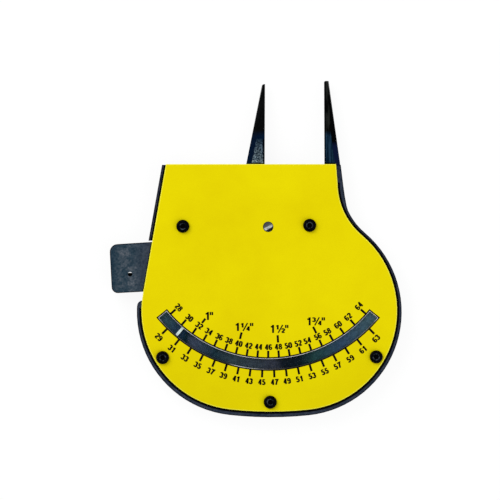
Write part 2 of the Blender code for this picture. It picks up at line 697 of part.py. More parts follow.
def build_push_slide(look, pin_look, carrier):
    """Push slide: thick thumb tab outside, thin plate with a fork inside."""
    low = FRAME_Z
    fork_x = PUSH_R * math.sin(math.radians(REST_ANGLE))
    half = PUSH_PIN_R + FORK_PLAY
    right = fork_x + half + FORK_WALL
    left = fork_x - half - FORK_WALL
    corners = [(TAB_LEFT_TOP_X, TAB_TOP_Y, TAB_TOP_CORNER_R)]
    corners += [(TAB_LEFT_LOW_X, TAB_LOW_Y, TAB_LOW_CORNER_R)]
    corners += [(TAB_BLOCK_X, PUSH_LOW_Y, 0), (TAB_BLOCK_X + 4, PUSH_BODY_LOW_Y, 0)]
    corners += [(right, PUSH_BODY_LOW_Y, 1.5), (right, FORK_TOP_Y, 0.8)]
    corners += [(left, FORK_TOP_Y, 0.8), (left, PUSH_TOP_Y - 3, 1.0)]
    corners += [(TAB_BLOCK_X + 6, PUSH_TOP_Y - 3, 1.0), (TAB_BLOCK_X, PUSH_TOP_Y, 0)]
    slide = prism("push_slide", rounded(corners), low, SLIDE_TOP, look, parent=carrier)
    corners = [(TAB_LEFT_TOP_X, TAB_TOP_Y, TAB_TOP_CORNER_R)]
    corners += [(TAB_LEFT_LOW_X, TAB_LOW_Y, TAB_LOW_CORNER_R)]
    corners += [(TAB_BLOCK_X, PUSH_LOW_Y, 0), (TAB_BLOCK_X, PUSH_TOP_Y, 0)]
    levels = ((0.0, low), (0.0, FRAME_TOP - RIM_CHAMFER), (RIM_CHAMFER, FRAME_TOP))
    weld(slide, chamfered("add_thumb_tab", rounded(corners), levels, parent=carrier))
    lug = circle((LUG_X, SPRING_Y), LUG_R)
    lug += [(LUG_X - LUG_R, PUSH_BODY_LOW_Y + 1), (LUG_X + LUG_R, PUSH_BODY_LOW_Y + 1)]
    weld(slide, prism("add_spring_lug", hull(lug), low, SLIDE_TOP, parent=carrier))
    high = FRAME_TOP + EPS
    bottom = -PUSH_R - PUSH_PIN_R - FORK_PLAY
    gap = [(fork_x - half, bottom, half * 0.8), (fork_x + half, bottom, half * 0.8)]
    gap += [(fork_x + half, 0, 0), (fork_x - half, 0, 0)]
    cut(slide, prism("cut_fork", rounded(gap), low - EPS, high, parent=carrier))
    pins = [(x, PUSH_GUIDE_Y) for x in PUSH_GUIDE_X]
    cut(slide, rods("cut_push_guides", pins, GUIDE_PIN_R + GAP, low - EPS, high, parent=carrier))
    cut(slide, rod("cut_lug_pin", (LUG_X, SPRING_Y), SPRING_PIN_R + GAP, low - EPS, high,
                   parent=carrier))
    hole_floor = FRAME_TOP - TAB_HOLE_DEEP
    cut(slide, rod("cut_tab_hole", (TAB_HOLE_X, TAB_HOLE_Y), TAB_HOLE_R, hole_floor, high,
                   parent=carrier))
    floor = BACK_TOP - GROOVE_DEEP + GAP
    profile = ((GUIDE_PIN_R, floor), (GUIDE_PIN_R, SLIDE_TOP))
    copies("push_guide_pin", pins, profile, pin_look, parent=carrier)
    turned("spring_slide_pin", (LUG_X, SPRING_Y),
           ((SPRING_PIN_R, low), (SPRING_PIN_R, SPRING_PIN_TOP)), pin_look, 20, parent=carrier)
    return slide


def build_crank(look, needle_look, pin_look, carrier):
    """Crank, pointer and both drive pins, drawn with the pointer straight down."""
    place = {"parent": carrier, "world": False}
    shape = circle((0, CRANK_R), CRANK_END_R) + circle((0, 0), CRANK_HUB_R, 48)
    shape += circle((0, -PUSH_R), CRANK_FOOT_R)
    crank = prism("crank_lever", hull(shape), CRANK_Z, CRANK_TOP, look, **place)
    low = CRANK_Z - EPS
    high = NEEDLE_TOP + EPS
    shaft_r = JAW_PIN_R * 0.6
    foot_r = PUSH_PIN_R * 0.65
    for tool in (
        rod("cut_crank_pivot", (0, 0), PIVOT_R + GAP, low, high, **place),
        rod("cut_crank_jaw_pin", (0, CRANK_R), shaft_r + GAP, low, high, **place),
        rod("cut_crank_push_pin", (0, -PUSH_R), foot_r + GAP, low, high, **place),
    ):
        cut(crank, tool)
    shape = circle((0, 0), NEEDLE_HUB_R, 48) + circle((0, -PUSH_R), NEEDLE_FOOT_R)
    needle = prism("pointer", hull(shape), NEEDLE_Z, NEEDLE_TOP, needle_look, **place)
    blade = [(-NEEDLE_ROOT_HALF, -PUSH_R), (-NEEDLE_HALF, -NEEDLE_THIN_R), (-NEEDLE_HALF, -NEEDLE_R)]
    blade += [(NEEDLE_HALF, -NEEDLE_R), (NEEDLE_HALF, -NEEDLE_THIN_R)]
    blade += [(NEEDLE_ROOT_HALF, -PUSH_R)]
    weld(needle, prism("add_blade", blade, NEEDLE_Z, NEEDLE_TOP, **place))
    cut(needle, rod("cut_needle_pivot", (0, 0), PIVOT_R + GAP, low, high, **place))
    cut(needle, rod("cut_needle_pin", (0, -PUSH_R), foot_r + GAP, low, high, **place))
    tip = FRAME_Z + GAP
    collar = SLIDE_TOP + GAP
    head = CRANK_TOP + GAP
    profile = ((JAW_PIN_R, tip), (JAW_PIN_R, collar), (shaft_r, collar), (shaft_r, head))
    profile += ((JAW_PIN_R, head), (JAW_PIN_R, head + 0.5))
    turned("jaw_drive_pin", (0, CRANK_R), profile, pin_look, **place)
    head = NEEDLE_TOP + GAP
    profile = ((PUSH_PIN_R, tip), (PUSH_PIN_R, collar), (foot_r, collar), (foot_r, head))
    profile += ((PUSH_PIN_R, head), (PUSH_PIN_R, head + 0.4))
    turned("push_drive_pin", (0, -PUSH_R), profile, pin_look, **place)
    return crank


def build_pivot(stud_look, bush_look):
    """Slotted pivot stud, the bush below the crank and the washer above the pointer."""
    shoulder = NEEDLE_TOP + GAP
    profile = ((PIVOT_R, PIVOT_SEAT_Z), (PIVOT_R, shoulder))
    profile += ((PIVOT_HEAD_R, shoulder), (PIVOT_HEAD_R, COVER_TOP))
    stud = turned("pivot_stud", (0, 0), profile, stud_look)
    length = PIVOT_HEAD_R + EPS
    half = PIVOT_SLOT / 2
    turn = math.radians(PIVOT_SLOT_TURN)
    corners = [(-length, -half), (length, -half), (length, half), (-length, half)]
    slot = [(x * math.cos(turn) - y * math.sin(turn), x * math.sin(turn) + y * math.cos(turn))
            for x, y in corners]
    cut(stud, prism("cut_pivot_slot", slot, COVER_TOP - PIVOT_SLOT_DEEP, COVER_TOP + EPS))
    settle(stud)
    bush = rod("pivot_bush", (0, 0), BUSH_R, FRAME_Z, CRANK_Z - GAP, bush_look)
    cut(bush, rod("cut_bush", (0, 0), PIVOT_R + GAP, FRAME_Z - EPS, CRANK_Z + EPS))
    settle(bush)
    washer = rod("pivot_washer", (0, 0), WASHER_R, shoulder, shoulder + WASHER_THICK, bush_look)
    cut(washer, rod("cut_washer", (0, 0), PIVOT_HEAD_R + GAP, shoulder - EPS, shoulder + 2 * EPS))
    settle(washer)


def build_screws(look):
    """Five equal button-head socket screws."""
    seat = COVER_TOP + GAP
    top = seat + SCREW_HEAD_THICK
    dome = [(SCREW_HEAD_R, seat), (SCREW_HEAD_R, seat + 0.25 * SCREW_HEAD_THICK)]
    for turn in (20, 40, 60):
        angle = math.radians(turn)
        flat = 0.5 * SCREW_HEAD_R
        dome.append((flat + (SCREW_HEAD_R - flat) * math.cos(angle * 1.1),
                     seat + SCREW_HEAD_THICK * (0.25 + 0.75 * math.sin(angle * 1.5))))
    profile = [(SCREW_R, SCREW_FLOOR_Z), (SCREW_R, seat)] + dome
    corner = SOCKET_FLATS / math.sqrt(3)
    socket = rod("cut_socket", (0, 0), corner, top - SOCKET_DEEP, top + EPS, sides=6)
    copies("cover_screw", screw_places(), profile, look, 24, socket=socket)


def spring_loop(x, radius, start):
    """A loop about a spring pin, open on one side."""
    sweep = 360 - 2 * LOOP_MOUTH
    turns = [math.radians(start + sweep * i / 12) for i in range(13)]
    return [(x + radius * math.cos(t), SPRING_Y + radius * math.sin(t)) for t in turns]


def build_spring(look):
    """Close-wound return spring with a loop round each pin."""
    loop_r = SPRING_PIN_R + GAP + SPRING_WIRE_R
    start = ANCHOR_X + loop_r + SPRING_TAIL
    stop = LUG_X - loop_r - SPRING_TAIL
    points = [(x, y, LOOP_Z) for x, y in spring_loop(ANCHOR_X, loop_r, LOOP_MOUTH)]
    count = SPRING_TURNS * 8
    for i in range(count + 1):
        turn = 2 * math.pi * i / 8
        x = start + (stop - start) * i / count
        points.append((x, SPRING_Y + SPRING_COIL_R * math.sin(turn),
                       SPRING_Z + SPRING_COIL_R * math.cos(turn)))
    points += [(x, y, LOOP_Z) for x, y in spring_loop(LUG_X, loop_r, 180 + LOOP_MOUTH)]
    curve = bpy.data.curves.new("return_spring", "CURVE")
    curve.dimensions = "3D"
    curve.bevel_depth = SPRING_WIRE_R * MM
    curve.bevel_resolution = 1
    curve.use_fill_caps = True
    spline = curve.splines.new("POLY")
    spline.points.add(len(points) - 1)
    for knot, point in zip(spline.points, points):
        knot.co = (*(Vector(point) * MM), 1.0)
    curve.materials.append(look)
    made = bpy.data.objects.new("return_spring", curve)
    bpy.context.scene.collection.objects.link(made)


def main():
    """Build the whole gauge in its rest pose, reading 30.5."""
    for old in list(bpy.data.objects):
        bpy.data.objects.remove(old, do_unlink=True)
    blued = material("blued_steel", (0.035, 0.05, 0.075), 0.38, 0.9)
    yellow = material("yellow_cover", (0.78, 0.65, 0.01), 0.45, 0.0)
    bright = material("bright_steel", (0.62, 0.62, 0.60), 0.28, 1.0)
    black = material("black_oxide", (0.02, 0.02, 0.022), 0.4, 0.6)
    white = material("white_pointer", (0.85, 0.86, 0.84), 0.5, 0.0)
    brass = material("brass", (0.62, 0.45, 0.18), 0.35, 1.0)
    pane = material("clear_pane", (0.8, 0.85, 0.88), 0.05, 0.0)
    jaw_carrier = empty("jaw_carrier", 0, JAW_GUIDE_Y, FRAME_Z)
    push_carrier = empty("push_carrier", 0, PUSH_GUIDE_Y, FRAME_Z)
    crank_carrier = empty("crank_carrier", 0, 0, 0, REST_ANGLE)
    build_back_plate(blued)
    build_frame(blued)
    build_side_bar(blued)
    build_cover(yellow, pane)
    build_jaw_slide(blued, bright, jaw_carrier)
    build_push_slide(blued, bright, push_carrier)
    build_crank(bright, white, bright, crank_carrier)
    build_pivot(bright, brass)
    build_screws(black)
    build_spring(bright)
    profile = ((DOWEL_R, DOWEL_FLOOR_Z), (DOWEL_R, FRAME_TOP))
    copies("frame_dowel", frame_dowel_places(), profile, bright)
    profile = ((BAR_DOWEL_R, DOWEL_FLOOR_Z), (BAR_DOWEL_R, FRAME_TOP))
    copies("side_bar_dowel", bar_dowel_places(), profile, bright, 20)
    rod("spring_anchor_pin", (ANCHOR_X, SPRING_Y), SPRING_PIN_R, DOWEL_FLOOR_Z, SPRING_PIN_TOP,
        bright, 20)


main()
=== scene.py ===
# %% [markdown]
# # A yellow dial gauge on white paper
#
# The object is a flat steel gauge with two thin jaws, a thumb tab, a long pointer and
# a yellow front cover with an arc window. Its solid parts come ready made from the CAD
# model. This script gives every one of them its finish, adds what is too thin to be a
# solid part, such as the printed scale, and lights it all like the photograph.

# %% Load the solid parts
import math

import bmesh
import bpy
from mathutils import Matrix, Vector


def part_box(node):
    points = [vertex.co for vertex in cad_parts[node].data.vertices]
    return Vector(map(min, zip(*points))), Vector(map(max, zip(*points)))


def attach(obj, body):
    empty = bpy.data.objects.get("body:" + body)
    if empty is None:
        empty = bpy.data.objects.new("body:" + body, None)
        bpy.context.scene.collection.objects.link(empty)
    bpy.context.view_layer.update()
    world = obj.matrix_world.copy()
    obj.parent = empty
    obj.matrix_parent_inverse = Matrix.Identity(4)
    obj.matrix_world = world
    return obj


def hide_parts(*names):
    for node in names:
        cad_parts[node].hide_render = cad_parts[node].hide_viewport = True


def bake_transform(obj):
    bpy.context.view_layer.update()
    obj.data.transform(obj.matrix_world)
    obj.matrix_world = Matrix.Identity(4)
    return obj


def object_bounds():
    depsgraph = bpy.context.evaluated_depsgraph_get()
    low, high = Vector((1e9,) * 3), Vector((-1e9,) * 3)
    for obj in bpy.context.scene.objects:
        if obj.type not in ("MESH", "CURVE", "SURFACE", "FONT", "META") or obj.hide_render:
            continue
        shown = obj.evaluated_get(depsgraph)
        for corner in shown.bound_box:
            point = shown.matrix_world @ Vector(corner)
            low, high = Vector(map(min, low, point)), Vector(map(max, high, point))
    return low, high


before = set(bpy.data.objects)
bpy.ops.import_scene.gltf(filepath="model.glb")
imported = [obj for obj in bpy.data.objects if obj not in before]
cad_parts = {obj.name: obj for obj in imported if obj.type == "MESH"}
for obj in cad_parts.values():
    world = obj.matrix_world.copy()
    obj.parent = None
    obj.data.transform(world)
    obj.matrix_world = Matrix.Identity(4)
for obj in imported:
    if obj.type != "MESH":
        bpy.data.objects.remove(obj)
cad_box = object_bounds()

# %% [markdown]
# ## Millimetres and the dial's centre
#
# Blender counts in metres, and a gauge is drawn in millimetres, so one factor turns one
# into the other. The pointer's pivot is the origin, which is also the centre of every
# arc on the dial. Heights are not typed in again: they are read off the cover, so the
# print stays on its face if the cover ever becomes thicker.

# %% Units and heights
MM = 0.001
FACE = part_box("front_cover")[1][2] / MM
print(f"the cover's face is {FACE:.2f} mm above the table")

# %% [markdown]
# ## The numbers of the scale
#
# The scale reads thirty-seconds of an inch. The pointer's crank is driven sideways by
# the jaw, so the numbers follow the sine of the angle: close together at the bottom of
# the arc and wider at both ends. One small function holds that law, and every mark and
# number asks it where to go. Placing 37 numbers by eye would take longer and look worse.
# The print was struck about a point a little below the pivot, so seen from the pivot
# the angles shrink by up to one degree towards both ends.

# %% Where a reading sits on the arc
MIDDLE_READING = 46
READING_REACH = 23.77
PRINT_DROP = 1.25
MARK_R = 56.0
EVEN = range(28, 65, 2)
ODD = range(29, 64, 2)


def dial_angle(reading):
    """Angle from straight down, in radians, to the right for a high reading."""
    struck = math.asin((reading - MIDDLE_READING) / READING_REACH)
    return struck - PRINT_DROP / MARK_R * math.sin(struck)


def dial_frame(angle):
    """The outward and the rightward direction at a place on the arc."""
    out = Vector((math.sin(angle), -math.cos(angle)))
    return out, Vector((-out.y, out.x))


for reading in (EVEN[0], EVEN[-1]):
    print(reading, f"sits at {math.degrees(dial_angle(reading)):.1f} degrees")

# %% [markdown]
# ## Ink as a thin film
#
# Print on metal is a film of ink a few hundredths of a millimetre thick. It could be an
# image, but then it would blur close up, and an image file can't travel with a script.
# Here every stroke is a ribbon with a real edge: two lines of points, a top between
# them, and walls that go down into the cover.

# %% Ribbons of ink
INK_HIGH = 0.025
INK_DEEP = 0.02


def row_of_points(mesh, points, height):
    """Mesh points above flat points, all in millimetres, at one height."""
    return [mesh.verts.new((p[0] * MM, p[1] * MM, height * MM)) for p in points]


def ribbon(mesh, left, right, top=FACE + INK_HIGH, low=FACE - INK_DEEP):
    """A closed flat strip between two rows of points in millimetres."""
    left_top = row_of_points(mesh, left, top)
    left_low = row_of_points(mesh, left, low)
    right_top = row_of_points(mesh, right, top)
    right_low = row_of_points(mesh, right, low)
    for i in range(len(left) - 1):
        j = i + 1
        mesh.faces.new((left_top[i], right_top[i], right_top[j], left_top[j]))
        mesh.faces.new((left_low[j], right_low[j], right_low[i], left_low[i]))
        mesh.faces.new((left_top[j], left_low[j], left_low[i], left_top[i]))
        mesh.faces.new((right_top[i], right_low[i], right_low[j], right_top[j]))
    mesh.faces.new((right_top[0], left_top[0], left_low[0], right_low[0]))
    mesh.faces.new((left_top[-1], right_top[-1], right_low[-1], left_low[-1]))


print(f"ink stands {INK_HIGH} mm proud and reaches {INK_DEEP} mm into the coat")

# %% [markdown]
# ## A line drawn with a pen
#
# A pen has a nib of some width. At each point of a line the ribbon's two edges lie half
# a nib to the left and to the right. At a corner they lie a little further out, so that
# the stroke keeps its width round the bend. This is a mitre, as on a picture frame.

# %% Pen strokes
def pen_sides(points, nib):
    """Both edges of a line drawn with a nib, given by its width and its height."""
    points = [Vector(p) for p in points]
    left = []
    right = []
    for i, point in enumerate(points):
        before = (point - points[max(i - 1, 0)]).normalized()
        after = (points[min(i + 1, len(points) - 1)] - point).normalized()
        along = (before + after).normalized()
        one_side = after if i == 0 else before
        reach = 0.5 / max(0.5, along.dot(one_side))
        offset = Vector((-along.y * nib[0], along.x * nib[1])) * reach
        left.append(point + offset)
        right.append(point - offset)
    return left, right


def stroke(mesh, points, width):
    """A ribbon of one width along a line of points, with mitred corners."""
    ribbon(mesh, *pen_sides(points, (width, width)))


# %% [markdown]
# ## From a mesh in the making to a piece
#
# All the strokes of one kind go into one mesh. When it is finished, one helper turns its
# faces outwards, makes an object of it and lets it ride on a body of the gauge, so the
# print moves with the housing and the bright edge of the tab's hole with the tab.

# %% Pieces
def piece(name, mesh, body="housing"):
    """Turn a mesh in the making into an object that rides on a body, if one is named."""
    bmesh.ops.recalc_face_normals(mesh, faces=mesh.faces)
    data = bpy.data.meshes.new(name)
    mesh.to_mesh(data)
    mesh.free()
    made = bpy.data.objects.new(name, data)
    bpy.context.scene.collection.objects.link(made)
    if body:
        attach(made, body)
    print(name, len(data.polygons), "faces")
    return made


# %% [markdown]
# ## The black marks of the scale
#
# Even readings have their mark on the inner side of the window and odd ones on the
# outer side. Each mark is a short radial bar that touches the window's printed border.
# An array modifier could repeat one bar, but only at even steps, and these aren't even.

# %% Scale marks
INNER_MARK = (50.85, 53.6)
OUTER_MARK = (58.9, 61.8)
MARK_WIDE = 0.9


def radial_bar(mesh, angle, start, stop):
    """A straight bar that points away from the pivot."""
    out, _ = dial_frame(angle)
    stroke(mesh, (out * start, out * stop), MARK_WIDE)


marks = bmesh.new()
for reading in EVEN:
    radial_bar(marks, dial_angle(reading), *INNER_MARK)
for reading in ODD:
    radial_bar(marks, dial_angle(reading), *OUTER_MARK)
scale_marks = piece("scale_marks", marks)

# %% [markdown]
# ## Arcs and spokes
#
# Everything round the window lies either on an arc about the pivot or on a spoke that
# points away from it. Two helpers give the points of both, so the border, the bare edge
# and the finishes all use the same window.

# %% Arcs and spokes
WINDOW = (53.91, 58.61)
WINDOW_MIDDLE = sum(WINDOW) / 2
WINDOW_END = 50.5
ARC_STEPS = 48


def spoke(turn, radii):
    """Points at some distances from the pivot, at a turn in degrees from straight down."""
    return [dial_frame(math.radians(turn))[0] * radius for radius in radii]


def arc_points(radius, half_angle):
    """Points on an arc about the pivot, from left to right, half_angle in degrees."""
    half = math.radians(half_angle)
    turns = [-half + 2 * half * i / ARC_STEPS for i in range(ARC_STEPS + 1)]
    return [dial_frame(turn)[0] * radius for turn in turns]


print(f"the window is {WINDOW[1] - WINDOW[0]:.2f} mm wide, {2 * WINDOW_END} degrees long")

# %% [markdown]
# ## The printed border of the window
#
# A black line runs round the window, with square corners. Two arcs and two short ends
# make it. Only the ends are straight, because they follow the dial's radii. The line
# starts exactly at the opening, so no ink hangs over it. The little ink that ran over
# the edge is coloured with the bare edge below.

# %% Window border
BORDER_WIDE = 0.44
BORDER_END = WINDOW_END + math.degrees(BORDER_WIDE / WINDOW_MIDDLE)

inner_line, outer_line = WINDOW
border = bmesh.new()
for radius in (inner_line, outer_line + BORDER_WIDE):
    lower_arc = arc_points(radius, WINDOW_END)
    upper_arc = arc_points(radius - BORDER_WIDE, WINDOW_END)
    ribbon(border, lower_arc, upper_arc)
reach = (inner_line - BORDER_WIDE, outer_line + BORDER_WIDE)
for side in (-1, 1):
    ribbon(border, spoke(side * WINDOW_END, reach), spoke(side * BORDER_END, reach))
window_border = piece("window_border", border)

# %% [markdown]
# ## Digits drawn with a broad pen
#
# The dial's digits are upright, bold and narrow. Blender's text object could write them,
# but its built-in letter is light, and made bolder it fills its own holes. So each digit
# is a few pen strokes in a box one unit high: straight lines and parts of ellipses. The
# nib is wider than it is high, so uprights come out bolder than level strokes, as in
# printed figures. Each stroke says which share of the nib it uses, because a slant or a
# small bow has to be thinner to keep the holes of a 4 or an 8 open.

# %% Pen strokes of ten digits
DIGIT_WIDE = 0.58
SLIM = 0.72
FINE = 0.85
BOW_STEP = 18


def bow(x, y, across, up, start, stop):
    """Part of an ellipse, in degrees, anticlockwise or clockwise."""
    count = max(4, round(abs(stop - start) / BOW_STEP))
    turns = [math.radians(start + (stop - start) * i / count) for i in range(count + 1)]
    return [(x + across * math.cos(turn), y + up * math.sin(turn)) for turn in turns]


six_spine = bow(0.29, 0.69, 0.195, 0.215, 28, 180) + [(0.095, 0.31)]
six = [(1, six_spine), (FINE, bow(0.29, 0.305, 0.195, 0.21, 180, 540))]
nine = [(share, [(DIGIT_WIDE - x, 1 - y) for x, y in line]) for share, line in six]
ring = bow(0.29, 0.70, 0.195, 0.205, 0, 180) + bow(0.29, 0.30, 0.195, 0.205, 180, 360)
flag = [(0.05, 0.755), (0.19, 0.77), (0.28, 0.83), (0.33, 0.94)]
DIGITS = {
    "0": [(1, ring + ring[:1])],
    "1": [(FINE, flag), (1, [(0.345, 0.0), (0.345, 1.0)])],
    "2": [
        (1, bow(0.28, 0.70, 0.20, 0.21, 172, -38) + [(0.10, 0.16)]),
        (1, [(0.04, 0.09), (0.54, 0.09)]),
    ],
    "3": [
        (1, bow(0.27, 0.715, 0.185, 0.19, 165, -90)),
        (1, bow(0.27, 0.305, 0.205, 0.215, 90, -165)),
    ],
    "4": [
        (1, [(0.40, 0.0), (0.40, 1.0)]),
        (SLIM, [(0.36, 0.95), (0.07, 0.33)]),
        (SLIM, [(0.02, 0.28), (0.57, 0.28)]),
    ],
    "5": [
        (FINE, [(0.50, 0.91), (0.17, 0.91), (0.13, 0.52)]),
        (1, bow(0.28, 0.32, 0.20, 0.235, 138, -160)),
    ],
    "6": six,
    "7": [(1, [(0.04, 0.91), (0.52, 0.91), (0.34, 0.52), (0.22, 0.0)])],
    "8": [
        (FINE, bow(0.29, 0.73, 0.175, 0.185, 0, 360)),
        (FINE, bow(0.29, 0.29, 0.205, 0.21, 0, 360)),
    ],
    "9": nine,
}
print("strokes of each digit:", {digit: len(lines) for digit, lines in DIGITS.items()})

# %% [markdown]
# ## Numbers in a row
#
# A number is its digits side by side, one step apart, centred on a point. The writer
# gets a direction for its baseline, so the same function writes the level labels and
# the numbers that turn with the dial.

# %% Writing a number
DIGIT_STEP = 0.67
NIB = Vector((0.305, 0.235))


def write(mesh, text, centre, right, height, wide=1.0, nib=NIB):
    """Write a number about its centre, with its baseline along right."""
    up = Vector((-right.y, right.x))
    half = (DIGIT_STEP * (len(text) - 1) + DIGIT_WIDE) / 2
    for place, sign in enumerate(text):
        for share, line in DIGITS[sign]:
            sides = []
            for side in pen_sides(line, nib * share):
                along = [(p.x + place * DIGIT_STEP - half) * height * wide for p in side]
                rise = [(p.y - 0.5) * height for p in side]
                sides.append([centre + right * a + up * b for a, b in zip(along, rise)])
            ribbon(mesh, *sides)


# %% [markdown]
# ## Numbers round the window
#
# The heads of all numbers point towards the pivot, so each one is turned with its mark.
# Even numbers stand inside the arc and odd numbers outside it. The print isn't perfect:
# towards the right end the odd numbers lag behind their marks by nearly a millimetre,
# and some even ones, listed below, stand a third of a millimetre beside theirs.

# %% Dial numbers
NUMBER_HIGH = 2.35
INNER_NUMBER_R = 49.35
OUTER_NUMBER_R = 63.7
INNER_SLIDE = 0.12
OUTER_LAG = 1.15
BESIDE = {
    28: 0.17, 30: 0.38, 32: 0.24, 36: 0.23, 38: 0.12,
    54: -0.35, 56: -0.12, 58: -0.35, 64: 0.4,
}

numbers = bmesh.new()
for reading in EVEN:
    out, right = dial_frame(dial_angle(reading))
    centre = out * INNER_NUMBER_R + right * (INNER_SLIDE + BESIDE.get(reading, 0.0))
    write(numbers, str(reading), centre, right, NUMBER_HIGH)
for reading in ODD:
    out, right = dial_frame(dial_angle(reading))
    centre = out * OUTER_NUMBER_R - right * OUTER_LAG * max(0.0, out.x)
    write(numbers, str(reading), centre, right, NUMBER_HIGH)
dial_numbers = piece("dial_numbers", numbers)

# %% [markdown]
# ## Whole and quarter inches
#
# Four larger labels name the inches. They stand upright, not turned, and a dash leads
# from each one towards its mark. A label is a big 1, a small fraction with a slash, and
# the two ticks that mean inches. Everything in it is a share of its height, so one
# number makes all of it larger or smaller.

# %% Inch labels
LABEL_HIGH = 3.28
LABEL_NIB = Vector((0.25, 0.22))
ONE_AT = (0.25, 0.5)
FRACTION_NIB = Vector((0.31, 0.25))
FRACTION_AT = ((0.85, 0.71), (1.57, 0.29))
FRACTION_HIGH = 0.56
FRACTION_WIDE = 1.35
SLASH_AT = ((0.94, 0.0), (1.51, 1.0))
SLASH_WIDE = 0.16
TICKS_AFTER_ONE = 0.62
TICKS_AFTER_FRACTION = 1.89
TICK_STEP = 0.24
TICK_LOW = 0.61
TICK_WIDE = 0.19


def inch_label(mesh, fraction, corner):
    """A big 1, a fraction and the inch ticks, from the lower left corner."""
    def at(place):
        return Vector(corner) + Vector(place) * LABEL_HIGH

    level = Vector((1, 0))
    write(mesh, "1", at(ONE_AT), level, LABEL_HIGH, nib=LABEL_NIB)
    ticks = TICKS_AFTER_ONE
    if fraction:
        small = FRACTION_HIGH * LABEL_HIGH
        for digit, place in zip(fraction, FRACTION_AT):
            write(mesh, digit, at(place), level, small, FRACTION_WIDE, FRACTION_NIB)
        stroke(mesh, [at(place) for place in SLASH_AT], SLASH_WIDE * LABEL_HIGH)
        ticks = TICKS_AFTER_FRACTION
    for x in (ticks, ticks + TICK_STEP):
        stroke(mesh, (at((x, TICK_LOW)), at((x, 1.0))), TICK_WIDE * LABEL_HIGH)


# %% [markdown]
# ### Where the labels stand
#
# The four labels and their dashes follow no rule, so their corners are listed, in
# millimetres from the pivot, as they were read off the photograph's scale.

# %% Labels and dashes
LABELS = (
    ("", (-25.7, -38.2)),
    ("14", (-13.4, -42.7)),
    ("12", (1.0, -43.5)),
    ("34", (16.0, -40.4)),
)
DASHES = (
    ((-25.75, -37.65), (-27.15, -39.45)),
    ((-10.88, -43.3), (-11.6, -46.0)),
    ((3.86, -44.45), (4.06, -47.45)),
    ((18.4, -41.0), (19.75, -43.65)),
)

labels = bmesh.new()
for fraction, corner in LABELS:
    inch_label(labels, fraction, corner)
for start, stop in DASHES:
    stroke(labels, (start, stop), MARK_WIDE)
inch_labels = piece("inch_labels", labels)

# %% [markdown]
# ## The bare edge of the window
#
# The cover was coated first and its window was cut afterwards, so the small slope round
# the opening shows bare aluminium as a thin light line. It lies on the CAD model's own
# chamfer: a strip that starts at the face and ends a quarter of a millimetre lower.

# %% Window edge
LIP = 0.29
LIP_TURN = math.degrees(LIP / WINDOW_MIDDLE)
EDGE_LIFT = 0.012


def sloped_strip(mesh, upper, lower):
    """A strip from the face down to a lower line, lifted a hair off the cover."""
    above = row_of_points(mesh, upper, FACE + EDGE_LIFT)
    below = row_of_points(mesh, lower, FACE - LIP + EDGE_LIFT)
    for i in range(len(upper) - 1):
        mesh.faces.new((above[i], above[i + 1], below[i + 1], below[i]))


edge = bmesh.new()
for radius, inward in ((WINDOW[0], LIP), (WINDOW[1], -LIP)):
    upper = arc_points(radius, WINDOW_END)
    lower = arc_points(radius + inward, WINDOW_END - LIP_TURN)
    sloped_strip(edge, upper, lower)
inner_ends = (WINDOW[0] + LIP, WINDOW[1] - LIP)
for side in (-1, 1):
    upper = spoke(side * WINDOW_END, WINDOW)
    lower = spoke(side * (WINDOW_END - LIP_TURN), inner_ends)
    sloped_strip(edge, upper, lower)
window_edge = piece("window_edge", edge)

# %% [markdown]
# ## The cover's outline, read from the solid part
#
# The cover is narrower than the frame. In the corner between them lies a painted shadow,
# a dark line nearly a millimetre wide beside the yellow. The line follows the cover's own
# outline. Its points could be typed in, but they would go wrong if the cover changed, so
# they are read from the part: the loop of edges where its flat underside meets its wall.

# %% The cover's outline
MERGE = 0.001


def underside_outline(node):
    """The longest loop round a flat part's underside, as points in millimetres."""
    mesh = bmesh.new()
    mesh.from_mesh(node.data)
    mesh.transform(node.matrix_world)
    bmesh.ops.remove_doubles(mesh, verts=mesh.verts, dist=MERGE * MM)
    mesh.normal_update()
    after = {}
    for line in mesh.edges:
        faces = sorted(line.link_faces, key=lambda face: face.normal.z)
        if len(faces) == 2 and faces[0].normal.z < -0.99 and abs(faces[1].normal.z) < 0.1:
            for one, other in (line.verts, reversed(line.verts)):
                after.setdefault(one, []).append(other)
    loops = []
    while after:
        loop = [next(iter(after))]
        while True:
            following = [vert for vert in after.pop(loop[-1]) if vert in after]
            if not following:
                break
            loop.append(following[0])
        loops.append([Vector(vert.co.xy) / MM for vert in loop])
    mesh.free()
    return max(loops, key=lambda loop: max(point.length for point in loop))


outline = underside_outline(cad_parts["front_cover"])
print(len(outline), "points on the cover's outline")

# %% [markdown]
# ## The dark seam round the cover
#
# The seam is a sheet of painted shadow, a ribbon between two copies of the outline, one a
# little larger and one a little smaller, which hides under the cover. It lies on the rim.
# It is left out at the jaws, and beside the tab and the side bar, whose finishes bring
# their own painted shadow.

# %% Seam line
SEAM_WIDE = 0.95
SEAM_UNDER = 0.3
SEAM_LIFT = 0.02
SLOT_LOW = -30.4
JAW_FOOT = 25.0


def widened(points, distance):
    """A closed outline moved outwards by a distance."""
    moved = []
    area = sum(a.x * b.y - b.x * a.y for a, b in zip(points, points[1:] + points[:1]))
    turn = 1 if area > 0 else -1
    for i, point in enumerate(points):
        before = (point - points[i - 1]).normalized()
        after = (points[(i + 1) % len(points)] - point).normalized()
        along = (before + after).normalized()
        normal = Vector((along.y, -along.x)) * turn
        moved.append(point + normal * distance / max(0.5, along.dot(after)))
    return moved


def beside_rim(point):
    """Whether the seam is drawn at this point of the outline."""
    return point.y < SLOT_LOW or (point.x > 0 and point.y < JAW_FOOT)


